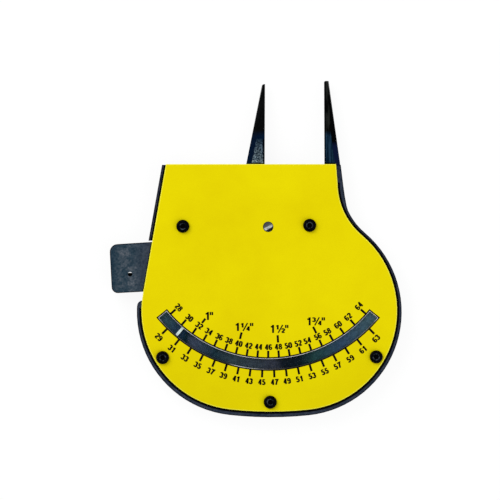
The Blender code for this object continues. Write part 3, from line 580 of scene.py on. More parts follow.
rim_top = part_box("frame")[1][2] / MM
outside = widened(outline, SEAM_WIDE)
inside = widened(outline, -SEAM_UNDER)
# painted shadow on the rim beside the cover's edge
seam = bmesh.new()
for i in range(len(outline)):
    j = (i + 1) % len(outline)
    if beside_rim(outline[i]) and beside_rim(outline[j]):
        near = (inside[i], inside[j])
        far = (outside[i], outside[j])
        ribbon(seam, near, far, rim_top + SEAM_LIFT, rim_top - INK_DEEP)
bmesh.ops.remove_doubles(seam, verts=seam.verts, dist=MERGE * MM)
seam_line = piece("seam_line", seam)
print(f"the seam lies on the rim, {rim_top:.2f} mm above the table")

# %% [markdown]
# ## A painted highlight at the tab's hole
#
# The hole in the tab was drilled and broken with a countersink. The upper side of that
# small slope gets a painted highlight, a glint. It is a thin crescent that rides on the
# tab, just inside the hole: an arc above, and the same arc pulled down in the middle.

# %% Painted highlight at the hole edge
HOLE = Vector((-56.65, -19.4))
HOLE_R = 0.95
GLINT_WIDE = 0.42
GLINT_DEEP = (0.1, 0.2)
GLINT_START = 25
GLINT_SPAN = 130
GLINT_STEPS = 14

crescent = bmesh.new()
steps = [i / GLINT_STEPS for i in range(GLINT_STEPS + 1)]
turns = [math.radians(GLINT_START + GLINT_SPAN * step) for step in steps]
upper = [HOLE + Vector((math.cos(t), math.sin(t))) * HOLE_R for t in turns]
bulge = [GLINT_WIDE * math.sin(math.pi * step) for step in steps]
lower = [point - Vector((0, deep)) for point, deep in zip(upper, bulge)]
ribbon(crescent, upper[1:-1], lower[1:-1], rim_top - GLINT_DEEP[0], rim_top - GLINT_DEEP[1])
hole_glint = piece("hole_glint", crescent, "push")

# %% [markdown]
# ## The return spring
#
# A close-wound spring pulls the thumb slide back. One loop hangs on a pin in the frame,
# the other on a pin in the slide. Its shape is one long path: round the first pin, along
# the coils, and round the second pin. A screw modifier could wind the coils, but not the
# loops at the ends, so the path is reckoned point by point.

# %% The path of the spring's wire
SPRING_Y = -28.5
SPRING_PINS = (-43.6, -18.0)
PIN_LOOP_R = 1.2
PIN_LOOP_SPAN = 300
PIN_LOOP_STEPS = 30
LOOP_HIGH = 5.7
COIL_R = 1.05
COIL_HIGH = 4.05
COIL_ENDS = (-40.9, -20.7)
COIL_TURNS = 15
COIL_STEPS = 20


def pin_loop(x, start):
    """An open loop of wire round a pin, from a start in degrees."""
    loop = []
    for i in range(PIN_LOOP_STEPS + 1):
        turn = math.radians(start + PIN_LOOP_SPAN * i / PIN_LOOP_STEPS)
        y = SPRING_Y + PIN_LOOP_R * math.sin(turn)
        loop.append((x + PIN_LOOP_R * math.cos(turn), y, LOOP_HIGH))
    return loop


wire = pin_loop(SPRING_PINS[0], 30)
count = COIL_TURNS * COIL_STEPS
for i in range(count + 1):
    turn = 2 * math.pi * i / COIL_STEPS
    x = COIL_ENDS[0] + (COIL_ENDS[1] - COIL_ENDS[0]) * i / count
    wire.append((x, SPRING_Y + COIL_R * math.sin(turn), COIL_HIGH + COIL_R * math.cos(turn)))
wire += pin_loop(SPRING_PINS[1], 210)
print("the spring's wire has", len(wire), "points and", COIL_TURNS, "coils")

# %% [markdown]
# ## A round wire
#
# A curve with a round bevel turns the path into wire, and a copy of it becomes a mesh.
# The spring can ride on neither body alone: it would stay behind, or cut through a pin,
# so it rides on none. It stands for the stiff spring of the CAD model.

# %% Return spring
WIRE_R = 0.2

curve = bpy.data.curves.new("spring_wire", "CURVE")
curve.dimensions = "3D"
curve.bevel_depth = WIRE_R * MM
curve.bevel_resolution = 2
curve.use_fill_caps = True
spline = curve.splines.new("POLY")
spline.points.add(len(wire) - 1)
for knot, point in zip(spline.points, wire):
    knot.co = (*(Vector(point) * MM), 1.0)
drawn = bpy.data.objects.new("spring_wire", curve)
spring_mesh = bmesh.new()
spring_mesh.from_mesh(bpy.data.meshes.new_from_object(drawn))
bpy.data.objects.remove(drawn)
for face in spring_mesh.faces:
    face.smooth = True
spring_coil = piece("spring_coil", spring_mesh, None)
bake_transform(spring_coil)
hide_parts("return_spring")

# %% [markdown]
# ## Colours as a screen shows them
#
# Blender counts light itself, and a screen doesn't: half the number is only a fifth of
# the light. The colours below are given in screen steps of 0 to 255, so one helper turns
# such a colour into Blender's own numbers. A second one makes neutral greys, which also
# serve as shares from nothing to all.

# %% Screen colours
SCREEN_POWER = 2.2


def screen(colour):
    """A colour given in screen steps of 0 to 255, as Blender counts light."""
    return tuple((c / 255) ** SCREEN_POWER for c in colour) + (1.0,)


def grey(level):
    """A neutral colour in screen steps, for ramps that carry a share."""
    return (level, level, level)


print(f"grey 128 on a screen is {screen(grey(128))[0]:.2f} of full light")

# %% [markdown]
# ## A finish is a small network of nodes
#
# Every finish starts with one shader. What is the same all over a part, such as being
# metal, is a number on the shader itself. What varies comes from nodes that are linked
# to it. One helper starts a finish, and one adds a node, fills in its settings and
# either sets its inputs or links them.

# %% Starting a finish
def new_finish(name, **settings):
    """A material and its shader; numbers that never vary are set on the shader."""
    finish = bpy.data.materials.new(name)
    finish.use_nodes = True
    shader = finish.node_tree.nodes["Principled BSDF"]
    for socket, value in settings.items():
        shader.inputs[socket.replace("_", " ")].default_value = value
    return finish.node_tree, shader


def add(tree, kind, values=None, **settings):
    """A node with its settings and its input values, or links to its inputs."""
    node = tree.nodes.new("ShaderNode" + kind)
    for name, value in settings.items():
        setattr(node, name, value)
    for socket, value in (values or {}).items():
        if isinstance(value, bpy.types.NodeSocket):
            tree.links.new(value, node.inputs[socket])
        else:
            node.inputs[socket].default_value = value
    return node


# %% [markdown]
# ## Noise that stays on the metal
#
# No real surface is quite even. A cloud of noise makes it uneven at a chosen size, as a
# colour or as a fine relief. The noise is measured in the part's own space, so it stays
# fixed to the metal when a part moves or the camera goes round it.

# %% Clouds and grain
def own_place(tree):
    """The place on the part, in the part's own space."""
    return add(tree, "TexCoord").outputs["Object"]


def cloud(tree, size, detail=3.0, rough=0.55, stretch=(1, 1, 1)):
    """Noise whose blobs are about size millimetres across."""
    scaled = add(tree, "Mapping", {"Vector": own_place(tree), "Scale": stretch})
    values = {
        "Vector": scaled.outputs[0],
        "Scale": 1 / (size * MM),
        "Detail": detail,
        "Roughness": rough,
    }
    return add(tree, "TexNoise", values).outputs["Fac"]


def grain(tree, shader, source, depth, strength=1.0):
    """Fine relief from noise, depth in millimetres."""
    values = {"Height": source, "Distance": depth * MM, "Strength": strength}
    bump = add(tree, "Bump", values)
    tree.links.new(bump.outputs[0], shader.inputs["Normal"])


# %% [markdown]
# ## From a number to a colour
#
# Noise is only a number between 0 and 1. A colour ramp turns it into colours, a second
# kind of ramp into shares, and a mix lays one colour over another by such a share. Two
# more helpers map a number from one range to another and multiply two colours.

# %% Ramps and mixes
def ramp(tree, source, *stops):
    """A colour ramp; each stop is a place and a colour as it looks on a screen."""
    node = add(tree, "ValToRGB", {"Fac": source})
    band = node.color_ramp
    while len(band.elements) < len(stops):
        band.elements.new(0.5)
    for element, (place, colour) in zip(band.elements, stops):
        element.position = place
        element.color = screen(colour)
    return node.outputs["Color"]


def shares(tree, source, *stops):
    """A ramp of shares; each stop is a place and a level of 0 to 255."""
    return ramp(tree, source, *[(place, grey(level)) for place, level in stops])


def between(tree, source, low, high, new_low=0.0, new_high=1.0):
    """Map a number from one range to another."""
    values = {"Value": source, 1: low, 2: high, 3: new_low, 4: new_high}
    return add(tree, "MapRange", values).outputs[0]


def blend(tree, factor, first, second):
    """Mix two colours by a factor."""
    return add(tree, "Mix", {0: factor, 6: first, 7: second}, data_type="RGBA").outputs[2]


def times(tree, first, second):
    """Multiply two colours or shares."""
    values = {0: 1.0, 6: first, 7: second}
    return add(tree, "Mix", values, data_type="RGBA", blend_type="MULTIPLY").outputs[2]


# %% [markdown]
# ## Where on the part
#
# Many finishes change from place to place: up the jaw, across the tab, or from a flat
# face to its bevel. All that can be read from the surface itself. No mask has to be
# painted, and nothing goes wrong if the mesh is made again.

# %% Places on a part
def reckon(tree, operation, first, second=0.0):
    """One step of arithmetic."""
    return add(tree, "Math", {0: first, 1: second}, operation=operation).outputs[0]


def axis_of(tree, letter):
    """One coordinate of the part's own space."""
    return add(tree, "SeparateXYZ", {"Vector": own_place(tree)}).outputs[letter]


def past(tree, letter, start, full):
    """0 at one place along an axis and 1 at another, both in millimetres."""
    return between(tree, axis_of(tree, letter), start * MM, full * MM)


def facing_up(tree):
    """1 on faces that look out of the dial's front or back, 0 on slopes and sides."""
    normal = add(tree, "NewGeometry").outputs["Normal"]
    height = add(tree, "SeparateXYZ", {"Vector": normal}).outputs["Z"]
    return between(tree, reckon(tree, "ABSOLUTE", height), 0.90, 0.985)


# %% [markdown]
# ## Putting a finish on
#
# A finish gets its colour and its roughness, and goes on a part. The parts of the CAD
# model come with a plain material in each slot, which is swapped for the finish. A new
# piece has none yet and gets it as its first.

# %% Dressing parts and pieces
def lay_on(tree, shader, colour=None, roughness=None):
    """Link a colour and a roughness to the shader."""
    if colour:
        tree.links.new(colour, shader.inputs["Base Color"])
    if roughness:
        tree.links.new(roughness, shader.inputs["Roughness"])


def dress(finish, *nodes):
    """Give CAD parts a finish, by its name, in place of their plain one."""
    for name in nodes:
        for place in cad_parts[name].material_slots:
            place.material = bpy.data.materials[finish]
    print(finish, "on", len(nodes), "parts")


def coat_piece(made, finish):
    """Give a new piece a finish, by its name."""
    made.data.materials.append(bpy.data.materials[finish])
    print(finish, "on", made.name)


# %% [markdown]
# ## Yellow coat
#
# The cover is sheet metal with a smooth, satin yellow coat. Seen close up it is not one
# flat colour: it drifts a little between a warmer and a cooler yellow over a few
# centimetres, and it has a faint fine grain. Two clouds of noise and a ramp do that. A
# painted shade makes it a trace darker at the foot. The shine is kept low, because a
# bright reflection would wash the yellow out. A painted highlight makes the bevel round
# the cover lighter.

# %% Yellow coat
DARKER_FOOT = (-68, -40)
FOOT_PAINTED_SHADE = screen(grey(247))
BEVEL_PAINTED_HIGHLIGHT = screen((252, 244, 70))

tree, shader = new_finish("yellow_coat", Roughness=0.45, Specular_IOR_Level=0.025)
drift = cloud(tree, 22)
fine = cloud(tree, 0.25, detail=2.0)
broad = ramp(tree, drift, (0.30, (226, 206, 0)), (0.50, (231, 213, 0)), (0.72, (236, 220, 2)))
speck = ramp(tree, fine, (0.30, (219, 201, 0)), (0.60, (239, 223, 2)))
coat = blend(tree, 0.25, broad, speck)
# painted shade: the cover gets a trace darker towards its foot
coat = blend(tree, past(tree, "Y", *DARKER_FOOT), times(tree, coat, FOOT_PAINTED_SHADE), coat)
# painted highlight: the bevel round the cover is a paler yellow
coat = blend(tree, facing_up(tree), BEVEL_PAINTED_HIGHLIGHT, coat)
lay_on(tree, shader, coat, between(tree, drift, 0.3, 0.7, 0.40, 0.50))
grain(tree, shader, fine, 0.006, 0.3)
dress("yellow_coat", "front_cover")

# %% [markdown]
# ## Ink
#
# The print is a dull brownish black. It is a little uneven, as screen print is, so the
# roughness wanders and the colour is not quite zero.

# %% Ink
tree, shader = new_finish("black_ink", Roughness=0.5, Specular_IOR_Level=0.06)
film = cloud(tree, 0.6)
ink = ramp(tree, film, (0.3, (6, 2, 4)), (0.7, (20, 8, 10)))
lay_on(tree, shader, ink, between(tree, film, 0.3, 0.7, 0.42, 0.6))
for printed in (scale_marks, window_border, dial_numbers, inch_labels):
    coat_piece(printed, "black_ink")

# %% [markdown]
# ## Round the pivot
#
# The window's edge and its floor change along the arc, so their finishes need the angle
# about the pivot and the distance from it. Both come from the place on the part, by one
# arctangent and by the length of a vector.

# %% Angle and distance about the pivot
def vector_step(tree, operation, first, second=(0, 0, 0)):
    """One step with vectors: a vector, or a number for a length or a dot product."""
    node = add(tree, "VectorMath", {0: first, 1: second}, operation=operation)
    return node.outputs["Value" if operation in ("LENGTH", "DOT_PRODUCT") else "Vector"]


def along_arc(tree):
    """0 at the left end of the window, 1 at the right end."""
    down = reckon(tree, "MULTIPLY", axis_of(tree, "Y"), -1.0)
    turn = reckon(tree, "ARCTAN2", axis_of(tree, "X"), down)
    end = math.radians(WINDOW_END)
    return between(tree, turn, -end, end)


def from_pivot(tree):
    """The distance from the pivot, in metres, seen from above."""
    level = vector_step(tree, "MULTIPLY", own_place(tree), (1, 1, 0))
    return vector_step(tree, "LENGTH", level)


# %% [markdown]
# ## Bare aluminium
#
# The cut edge of the window is bare all along its inner side and at both ends. On the
# outer side ink and coat were left, and the metal shows in one stretch near 42 and
# faintly towards the ends. A ramp over the angle says where, and noise makes it uneven.
# Ink covers the top of the slope, and its foot is painted dark as shade.

# %% Bare aluminium
INNER_BARE = ((0.0, 250), (0.03, 200), (0.2, 255), (0.8, 255), (0.97, 200), (1.0, 250))
OUTER_BARE = (
    (0.0, 250), (0.03, 110), (0.10, 90), (0.30, 0), (0.34, 0), (0.37, 255), (0.43, 220),
    (0.50, 90), (0.58, 0), (0.80, 0), (0.92, 140), (0.97, 110), (1.0, 250),
)
SIDE_TO_SIDE = 1.5
EDGE_DARK = screen((24, 22, 26))
EDGE_BRIGHT = screen((252, 253, 254))

tree, shader = new_finish("bare_edge", Roughness=0.4, Specular_IOR_Level=0.8)
inner_share = shares(tree, along_arc(tree), *INNER_BARE)
outer_share = shares(tree, along_arc(tree), *OUTER_BARE)
near = (WINDOW_MIDDLE - SIDE_TO_SIDE) * MM
far = (WINDOW_MIDDLE + SIDE_TO_SIDE) * MM
share = blend(tree, between(tree, from_pivot(tree), near, far), inner_share, outer_share)
uneven = shares(tree, cloud(tree, 1.2), (0.35, 200), (0.55, 255))
depth = past(tree, "Z", FACE, FACE - LIP)
# dark at the top of the slope is ink, dark at its foot is painted shade
ink_and_shade = shares(tree, depth, (0.25, 0), (0.38, 255), (0.88, 255), (1.0, 0))
bare = times(tree, times(tree, share, uneven), ink_and_shade)
lay_on(tree, shader, blend(tree, bare, EDGE_DARK, EDGE_BRIGHT))
coat_piece(window_edge, "bare_edge")

# %% [markdown]
# ## Blued steel
#
# Heat-blued steel is navy to black with cloudy patches, where the oxide is thicker or
# thinner, and it is a metal all through, so its colour comes from what it reflects. The
# same recipe serves the frame, the side bar, the slides and the back plate, with other
# shades. Bevels get an even dark blue, a painted dark reflection. Ground edges, painted
# shade and painted dark reflections are nearly black.

# %% Patches of oxide
# painted dark reflection for bevels, then near black for ground edges, painted shade and
# painted dark reflections
BEVEL_DARK_REFLECTION = screen((10, 18, 32))
EDGE_AND_SHADE_BLACK = screen((9, 10, 12))
GROUND_NAVY = screen((14, 30, 52))


def patches(tree, dark, light, size=7.0, stretch=(1, 1, 1), spread=0.15, mix=0.4):
    """Cloudy oxide: broad patches, and finer ones inside them by the share mix."""
    clouds = cloud(tree, size, detail=4.0, stretch=stretch)
    broad = ramp(tree, clouds, (0.5 - spread, dark), (0.5 + spread, light))
    fine = ramp(tree, cloud(tree, 0.7, detail=3.0), (0.35, dark), (0.68, light))
    return blend(tree, mix, broad, fine)


def ground_surface(tree, shader, low=0.32, high=0.48, strength=0.4):
    """The fine unevenness that all blued parts share."""
    fine = cloud(tree, 0.3)
    lay_on(tree, shader, None, between(tree, fine, 0.3, 0.7, low, high))
    grain(tree, shader, fine, 0.01, strength)


# %% [markdown]
# ### The floor under the window
#
# The frame is one part with three looks: the rim outside, the floor under the window and
# the fixed jaw. The floor shows the colours that steel takes when it is heated, along
# the arc: teal at the left, then navy, and slate at the right. The near black band just
# right of where the pointer rests is the pointer's shadow, painted into the ramp. A ramp
# over the angle gives them, and noise shifts it to and fro so that no border is straight.

# %% Tempered floor, with the pointer's painted shadow
TEMPER_AND_SHADOW_COLOURS = (
    (0.00, (66, 94, 102)),
    (0.10, (44, 66, 94)),
    # painted shadow of the pointer, just right of where it rests
    (0.135, (24, 46, 54)),
    (0.18, (74, 86, 108)),
    (0.27, (40, 64, 76)),
    (0.36, (66, 82, 90)),
    (0.52, (68, 74, 88)),
    (0.57, (34, 42, 52)),
    (0.63, (30, 44, 52)),
    (0.70, (52, 88, 90)),
    (0.82, (70, 98, 130)),
    (1.00, (92, 126, 138)),
)
SWAY = 0.02

tree, shader = new_finish("blued_frame", Metallic=1.0, Roughness=0.38)
sway = between(tree, cloud(tree, 4.0, detail=2.0), 0.2, 0.8, -SWAY, SWAY)
swayed = reckon(tree, "ADD", sway, along_arc(tree))
fine = shares(tree, cloud(tree, 1.6, detail=4.0), (0.35, 215), (0.6, 255))
floor = times(tree, ramp(tree, swayed, *TEMPER_AND_SHADOW_COLOURS), fine)
print(len(TEMPER_AND_SHADOW_COLOURS), "tempering colours along the floor")

# %% [markdown]
# ### The fixed jaw
#
# The jaw's flat was ground lengthwise, so its patches are drawn out into streaks: each
# cloud is squeezed along the jaw. The lower third is navy and the rest nearly black, a
# painted reflection of the dark above the jaw. A dark line runs up the measuring edge,
# and a painted shadow of the cover runs across the foot.

# %% Fixed jaw
STREAKS = (1, 0.08, 1)
NAVY_TO_BLACK_REFLECTION = (36.8, 39.4)
MEASURING_EDGE = (23.4, 23.75)
COVER_SHADOW = (26.0, 26.5)

jaw_low = patches(tree, (8, 28, 44), (42, 68, 90), 0.8, STREAKS, 0.10, 0.2)
jaw_high = patches(tree, (7, 8, 8), (39, 41, 39), 0.9, STREAKS, 0.10, 0.2)
# painted reflection: navy on the lower third, nearly black above
jaw = blend(tree, past(tree, "Y", *NAVY_TO_BLACK_REFLECTION), jaw_low, jaw_high)
jaw = blend(tree, past(tree, "X", *MEASURING_EDGE), EDGE_AND_SHADE_BLACK, jaw)
jaw = blend(tree, past(tree, "Y", *COVER_SHADOW), EDGE_AND_SHADE_BLACK, jaw)

# %% [markdown]
# ### The rim, and the frame as a whole
#
# Height tells the milled floor from the rim, and the distance up the gauge tells the jaw
# from the body. Both are read from the part's own coordinates. The bevels get painted
# dark reflections: dark blue on the body, brighter navy at the jaw's foot and black
# above it.

# %% Blued frame
FLOOR_TO_RIM = (6.80, 6.95)
BODY_TO_JAW = (25.5, 25.7)
BEVEL_TO_JAW = (25.2, 25.5)
BEVEL_TO_BLACK = (33.0, 35.0)
FOOT_BEVEL = screen((24, 34, 66))

rim = patches(tree, (32, 44, 58), (72, 78, 94), 3.0)
high = past(tree, "Z", *FLOOR_TO_RIM)
body = blend(tree, high, floor, rim)
flats = blend(tree, past(tree, "Y", *BODY_TO_JAW), body, jaw)
# painted dark reflections on the bevels: dark blue on the body, navy at the jaw's foot, black
# above
slopes = blend(tree, past(tree, "Y", *BEVEL_TO_JAW), BEVEL_DARK_REFLECTION, FOOT_BEVEL)
slopes = blend(tree, past(tree, "Y", *BEVEL_TO_BLACK), slopes, EDGE_AND_SHADE_BLACK)
lay_on(tree, shader, blend(tree, facing_up(tree), slopes, flats))
ground_surface(tree, shader, 0.30, 0.46, between(tree, high, 0.0, 1.0, 0.05, 0.4))
dress("blued_frame", "frame")

# %% [markdown]
# ### The shadow beside the cover
#
# Where the tab and the side bar go under the cover's straight left edge, a thin black
# line of painted shadow shows. The edge leans by ten degrees, so the distance from it is
# a dot product with the direction across it.

# %% Beside the cover
COVER_LEAN = math.radians(10.1)
COVER_EDGE = Vector((-41.9, 25.7, 0))
ACROSS_EDGE = Vector((math.cos(COVER_LEAN), -math.sin(COVER_LEAN), 0))


def beside_cover(tree, wide):
    """1 next to the cover's straight left edge, 0 beyond the width in millimetres."""
    along = vector_step(tree, "DOT_PRODUCT", own_place(tree), ACROSS_EDGE)
    edge_at = COVER_EDGE.dot(ACROSS_EDGE)
    return between(tree, along, (edge_at - wide) * MM, (edge_at - 0.7 * wide) * MM)


print(f"the cover's left edge is {-COVER_EDGE.dot(ACROSS_EDGE):.1f} mm from the pivot")

# %% [markdown]
# ### The thumb tab
#
# The tab is handled most. Its oxide is thinner in warm grey patches down the middle, and
# stays deep teal on the left. The bottom of its hole is painted black as shade, a painted
# shadow runs beside the cover, and the bevels get the painted dark reflection.

# %% Blued tab
TAB_SIDES = (-65, -49)
HOLE_BOTTOM = (8.3, 8.6)
HOLE_PAINTED_SHADE = screen((2, 2, 3))

tree, shader = new_finish("blued_tab", Metallic=1.0, Roughness=0.40)
across = past(tree, "X", *TAB_SIDES)
teal = ((0.0, (22, 54, 72)), (0.25, (38, 68, 82)), (0.6, (40, 66, 80)), (1.0, (66, 70, 84)))
mottle = patches(tree, (16, 36, 52), (86, 98, 110), 1.3, spread=0.2, mix=0.55)
deep = blend(tree, 0.5, ramp(tree, across, *teal), mottle)
warm = patches(tree, (54, 74, 86), (132, 134, 142), 0.8, mix=0.7)
middle = shares(tree, across, (0.10, 0), (0.3, 255), (0.5, 255), (0.8, 90))
patch = between(tree, cloud(tree, 6.0, detail=6.0, rough=0.75), 0.44, 0.66)
look = blend(tree, reckon(tree, "MULTIPLY", patch, middle), deep, warm)
# painted shade at the bottom of the hole
look = blend(tree, past(tree, "Z", *HOLE_BOTTOM), HOLE_PAINTED_SHADE, look)
# painted shadow beside the cover
look = blend(tree, beside_cover(tree, 0.4), look, EDGE_AND_SHADE_BLACK)
# painted dark reflection on the bevels
lay_on(tree, shader, blend(tree, facing_up(tree), BEVEL_DARK_REFLECTION, look))
ground_surface(tree, shader)
dress("blued_tab", "push_slide")

# %% [markdown]
# ### Back plate and side bar
#
# The back plate is a large plain sheet, so its patches are large and light. The side bar
# was blued with the frame and is as dark as the rim. Both get the painted dark reflection
# on their bevels, and the side bar a painted shadow beside the cover.

# %% Blued plates
tree, shader = new_finish("blued_plate", Metallic=1.0, Roughness=0.40)
look = patches(tree, (30, 44, 58), (82, 92, 106), 9.0)
# painted dark reflection on the bevels
lay_on(tree, shader, blend(tree, facing_up(tree), BEVEL_DARK_REFLECTION, look))
ground_surface(tree, shader)
dress("blued_plate", "back_plate")

tree, shader = new_finish("blued_bar", Metallic=1.0, Roughness=0.36)
look = patches(tree, (30, 36, 48), (76, 76, 92), 3.0)
# painted shadow beside the cover
look = blend(tree, beside_cover(tree, 0.8), look, EDGE_AND_SHADE_BLACK)
# painted dark reflection on the bevels
lay_on(tree, shader, blend(tree, facing_up(tree), BEVEL_DARK_REFLECTION, look))
ground_surface(tree, shader, 0.30, 0.46)
dress("blued_bar", "side_bar")

# %% [markdown]
# ## The moving jaw
#
# The jaw's flat face was ground and is speckled grey-green. Near the body a painted
# reflection makes it light, and it gets darker upwards. The specks are small and sharp,
# so their noise is rough and only a narrow band of it is used. A second, larger cloud
# dulls some stretches. The measuring edge stays dark, and the strip beside the cover is
# painted shadow, as on the fixed jaw.

# %% Speckled face
SPECKLE_REFLECTION_FADE = (26.0, 36.0)
JAW_EDGE = (-2.3, -1.95)
JAW_SHADOW = (26.0, 26.4)

tree, shader = new_finish("ground_jaw", Metallic=1.0, Roughness=0.40)
# painted reflection: light near the body, darker upwards
fade = past(tree, "Y", *SPECKLE_REFLECTION_FADE)
speckle_dark = ramp(tree, fade, (0.0, (16, 42, 64)), (1.0, (6, 22, 42)))
speckle_light = ramp(tree, fade, (0.0, (180, 204, 212)), (1.0, (58, 88, 112)))
specks = between(tree, cloud(tree, 0.62, detail=4.0, rough=0.8), 0.45, 0.61)
speckle = blend(tree, specks, speckle_dark, speckle_light)
rubbed = shares(tree, cloud(tree, 3.5, detail=2.0), (0.40, 196), (0.58, 255))
speckle = times(tree, speckle, rubbed)
speckle = blend(tree, past(tree, "X", *JAW_EDGE), speckle, EDGE_AND_SHADE_BLACK)
# painted shadow of the cover across the jaw's foot
speckle = blend(tree, past(tree, "Y", *JAW_SHADOW), EDGE_AND_SHADE_BLACK, speckle)

# %% [markdown]
# ### Bevel and taper
#
# The long bevel on the jaw's outer side is deep navy. Where the taper starts, the flat
# and the bevel both turn nearly black, up to the tip: a painted reflection of the dark
# above the jaw, as on the fixed jaw.

# %% Ground jaw
BEVEL_FADE = (35.0, 39.0)
TAPER_FADE = (36.5, 39.5)
TAPER_START = (35.6, 36.4)

# painted reflection: the bevel goes from navy to near black
bevel = blend(tree, past(tree, "Y", *BEVEL_FADE), GROUND_NAVY, EDGE_AND_SHADE_BLACK)
foot = blend(tree, facing_up(tree), bevel, speckle)
black = patches(tree, (8, 9, 10), (24, 25, 26), 1.5, stretch=(1, 0.2, 1))
# painted reflection: near black from the start of the taper
taper = blend(tree, past(tree, "Y", *TAPER_FADE), GROUND_NAVY, black)
lay_on(tree, shader, blend(tree, past(tree, "Y", *TAPER_START), foot, taper))
ground_surface(tree, shader, 0.34, 0.5)
dress("ground_jaw", "jaw_slide")

# %% [markdown]
# ## Round parts measured from their own middle
#
# The five screws share one finish, with a painted highlight ring round each socket. For
# that, each head has to be measured from its own middle. Blender's generated coordinates
# run from 0 to 1 across each part, so the middle is always at a half.

# %% Distance from a part's own axis
def size_of(node):
    """The width of a part in millimetres."""
    low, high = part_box(node)
    return (high[0] - low[0]) / MM


def from_axis(tree, wide):
    """The place and the distance from a round part's own axis, in millimetres."""
    place = add(tree, "TexCoord").outputs["Generated"]
    middle = vector_step(tree, "SUBTRACT", place, (0.5, 0.5, 0))
    level = vector_step(tree, "MULTIPLY", middle, (wide, wide, 0))
    return level, vector_step(tree, "LENGTH", level)


print(f"a screw's head is {size_of('cover_screw_1'):.2f} mm wide")

# %% [markdown]
# ### Cover screws
#
# The cover screws have black oxide. A painted highlight makes a patchy grey ring round
# the socket, only on the flat top of the head.

# %% Cover screws
RING_RANGE = (0.8, 2.0)
SCREW_TOP = (12.3, 12.38)

tree, shader = new_finish("black_oxide_screw", Roughness=0.45, Specular_IOR_Level=0.025)
fine = cloud(tree, 0.8)
head = ramp(tree, fine, (0.3, (2, 3, 5)), (0.7, (12, 13, 18)))
glint = ramp(tree, fine, (0.44, (10, 14, 20)), (0.68, (78, 86, 92)))
_, away = from_axis(tree, size_of("cover_screw_1"))
ring_place = between(tree, away, *RING_RANGE)
ring_share = shares(tree, ring_place, (0.15, 0), (0.28, 255), (0.42, 255), (0.62, 0))
# painted highlight ring round the socket, only on the flat top
socket_highlight = reckon(tree, "MULTIPLY", ring_share, past(tree, "Z", *SCREW_TOP))
look = blend(tree, socket_highlight, head, glint)
lay_on(tree, shader, look, between(tree, fine, 0.3, 0.7, 0.35, 0.55))
dress("black_oxide_screw", *[f"cover_screw_{i}" for i in range(1, 6)])

# %% [markdown]
# ### The pivot
#
# The pivot's head is bright steel. A painted reflection of a dark room darkens its lower
# side, and a painted highlight, broken by noise, lies along the slot across it. Both run
# at the slot's slant, so one dot product gives the place across the slot, and two ramps
# over it give the painted sheen and the slot's painted highlight.

# %% Pivot
ACROSS_SLOT = (0.5, -0.86, 0)
SLOT_BOTTOM = (10.5, 10.2)
PIVOT_HEAD = (9.5, 9.7)
PIVOT_SHAFT = screen((170, 170, 168))
SHEEN = ((0.2, (92, 92, 96)), (0.45, (120, 124, 122)), (0.6, (60, 60, 62)), (0.9, (40, 38, 40)))

tree, shader = new_finish("turned_pivot", Metallic=1.0, Roughness=0.3)
level, away = from_axis(tree, size_of("pivot_stud"))
across = between(tree, vector_step(tree, "DOT_PRODUCT", level, ACROSS_SLOT), -2, 2)
slot_share = shares(tree, across, (0.46, 0), (0.52, 255), (0.66, 255), (0.74, 0))
bright = reckon(tree, "MAXIMUM", slot_share, past(tree, "Z", *SLOT_BOTTOM))
slot_highlight = ramp(tree, cloud(tree, 0.5), (0.38, (150, 164, 156)), (0.56, (252, 253, 252)))
# painted sheen across the head and painted highlight in the slot
head = blend(tree, bright, ramp(tree, across, *SHEEN), slot_highlight)
look = blend(tree, past(tree, "Z", *PIVOT_HEAD), PIVOT_SHAFT, head)
lay_on(tree, shader, look, between(tree, away, 0, 2, 0.24, 0.34))
dress("turned_pivot", "pivot_stud")

# %% [markdown]
# ### The washer under the pivot
#
# A thin washer lies between the pivot's head and the pointer. It is blackened, because
# in the photograph it shows as a dark ring. Its colour is uneven on a small scale.

# %% Washer
tree, shader = new_finish("black_washer", Metallic=0.6, Roughness=0.5, Specular_IOR_Level=0.2)
lay_on(tree, shader, ramp(tree, cloud(tree, 0.5), (0.3, (8, 8, 9)), (0.7, (24, 24, 26))))
dress("black_washer", "pivot_washer")

# %% [markdown]
# ## Turned steel inside
#
# The pins, the crank and the spring hide behind the cover, but they show when it is
# lifted or the jaws are open. They were turned on a lathe, which leaves fine rings. A
# wave pattern draws them, in the colour and in the roughness.

# %% Turned steel
RINGS_PER_METRE = 1200.0
PINS = (
    "crank_lever", "jaw_drive_pin", "push_drive_pin", "spring_anchor_pin", "spring_slide_pin",
    "jaw_guide_pin_1", "jaw_guide_pin_2", "push_guide_pin_1", "push_guide_pin_2",
    "frame_dowel_1", "frame_dowel_2", "frame_dowel_3", "side_bar_dowel_1", "side_bar_dowel_2",
)

tree, shader = new_finish("turned_steel", Metallic=1.0, Roughness=0.25)
values = {"Vector": own_place(tree), "Scale": RINGS_PER_METRE, "Distortion": 0.6, "Detail": 2.0}
rings = add(tree, "TexWave", values, wave_type="RINGS", rings_direction="Z").outputs["Fac"]
steel = ramp(tree, rings, (0.2, (160, 160, 158)), (0.8, (205, 205, 202)))
lay_on(tree, shader, steel, between(tree, rings, 0, 1, 0.18, 0.36))
dress("turned_steel", *PINS)
coat_piece(spring_coil, "turned_steel")

# %% [markdown]
# ## Brass bush
#
# The bush under the crank is brass, which runs well on steel. It is a warm yellow metal
# with a slightly cloudy surface.

# %% Brass bush
tree, shader = new_finish("turned_brass", Metallic=1.0, Roughness=0.3)
fine = cloud(tree, 0.4)
brass = ramp(tree, fine, (0.3, (176, 142, 78)), (0.7, (206, 172, 104)))
lay_on(tree, shader, brass, between(tree, fine, 0.3, 0.7, 0.22, 0.4))
dress("turned_brass", "pivot_bush")

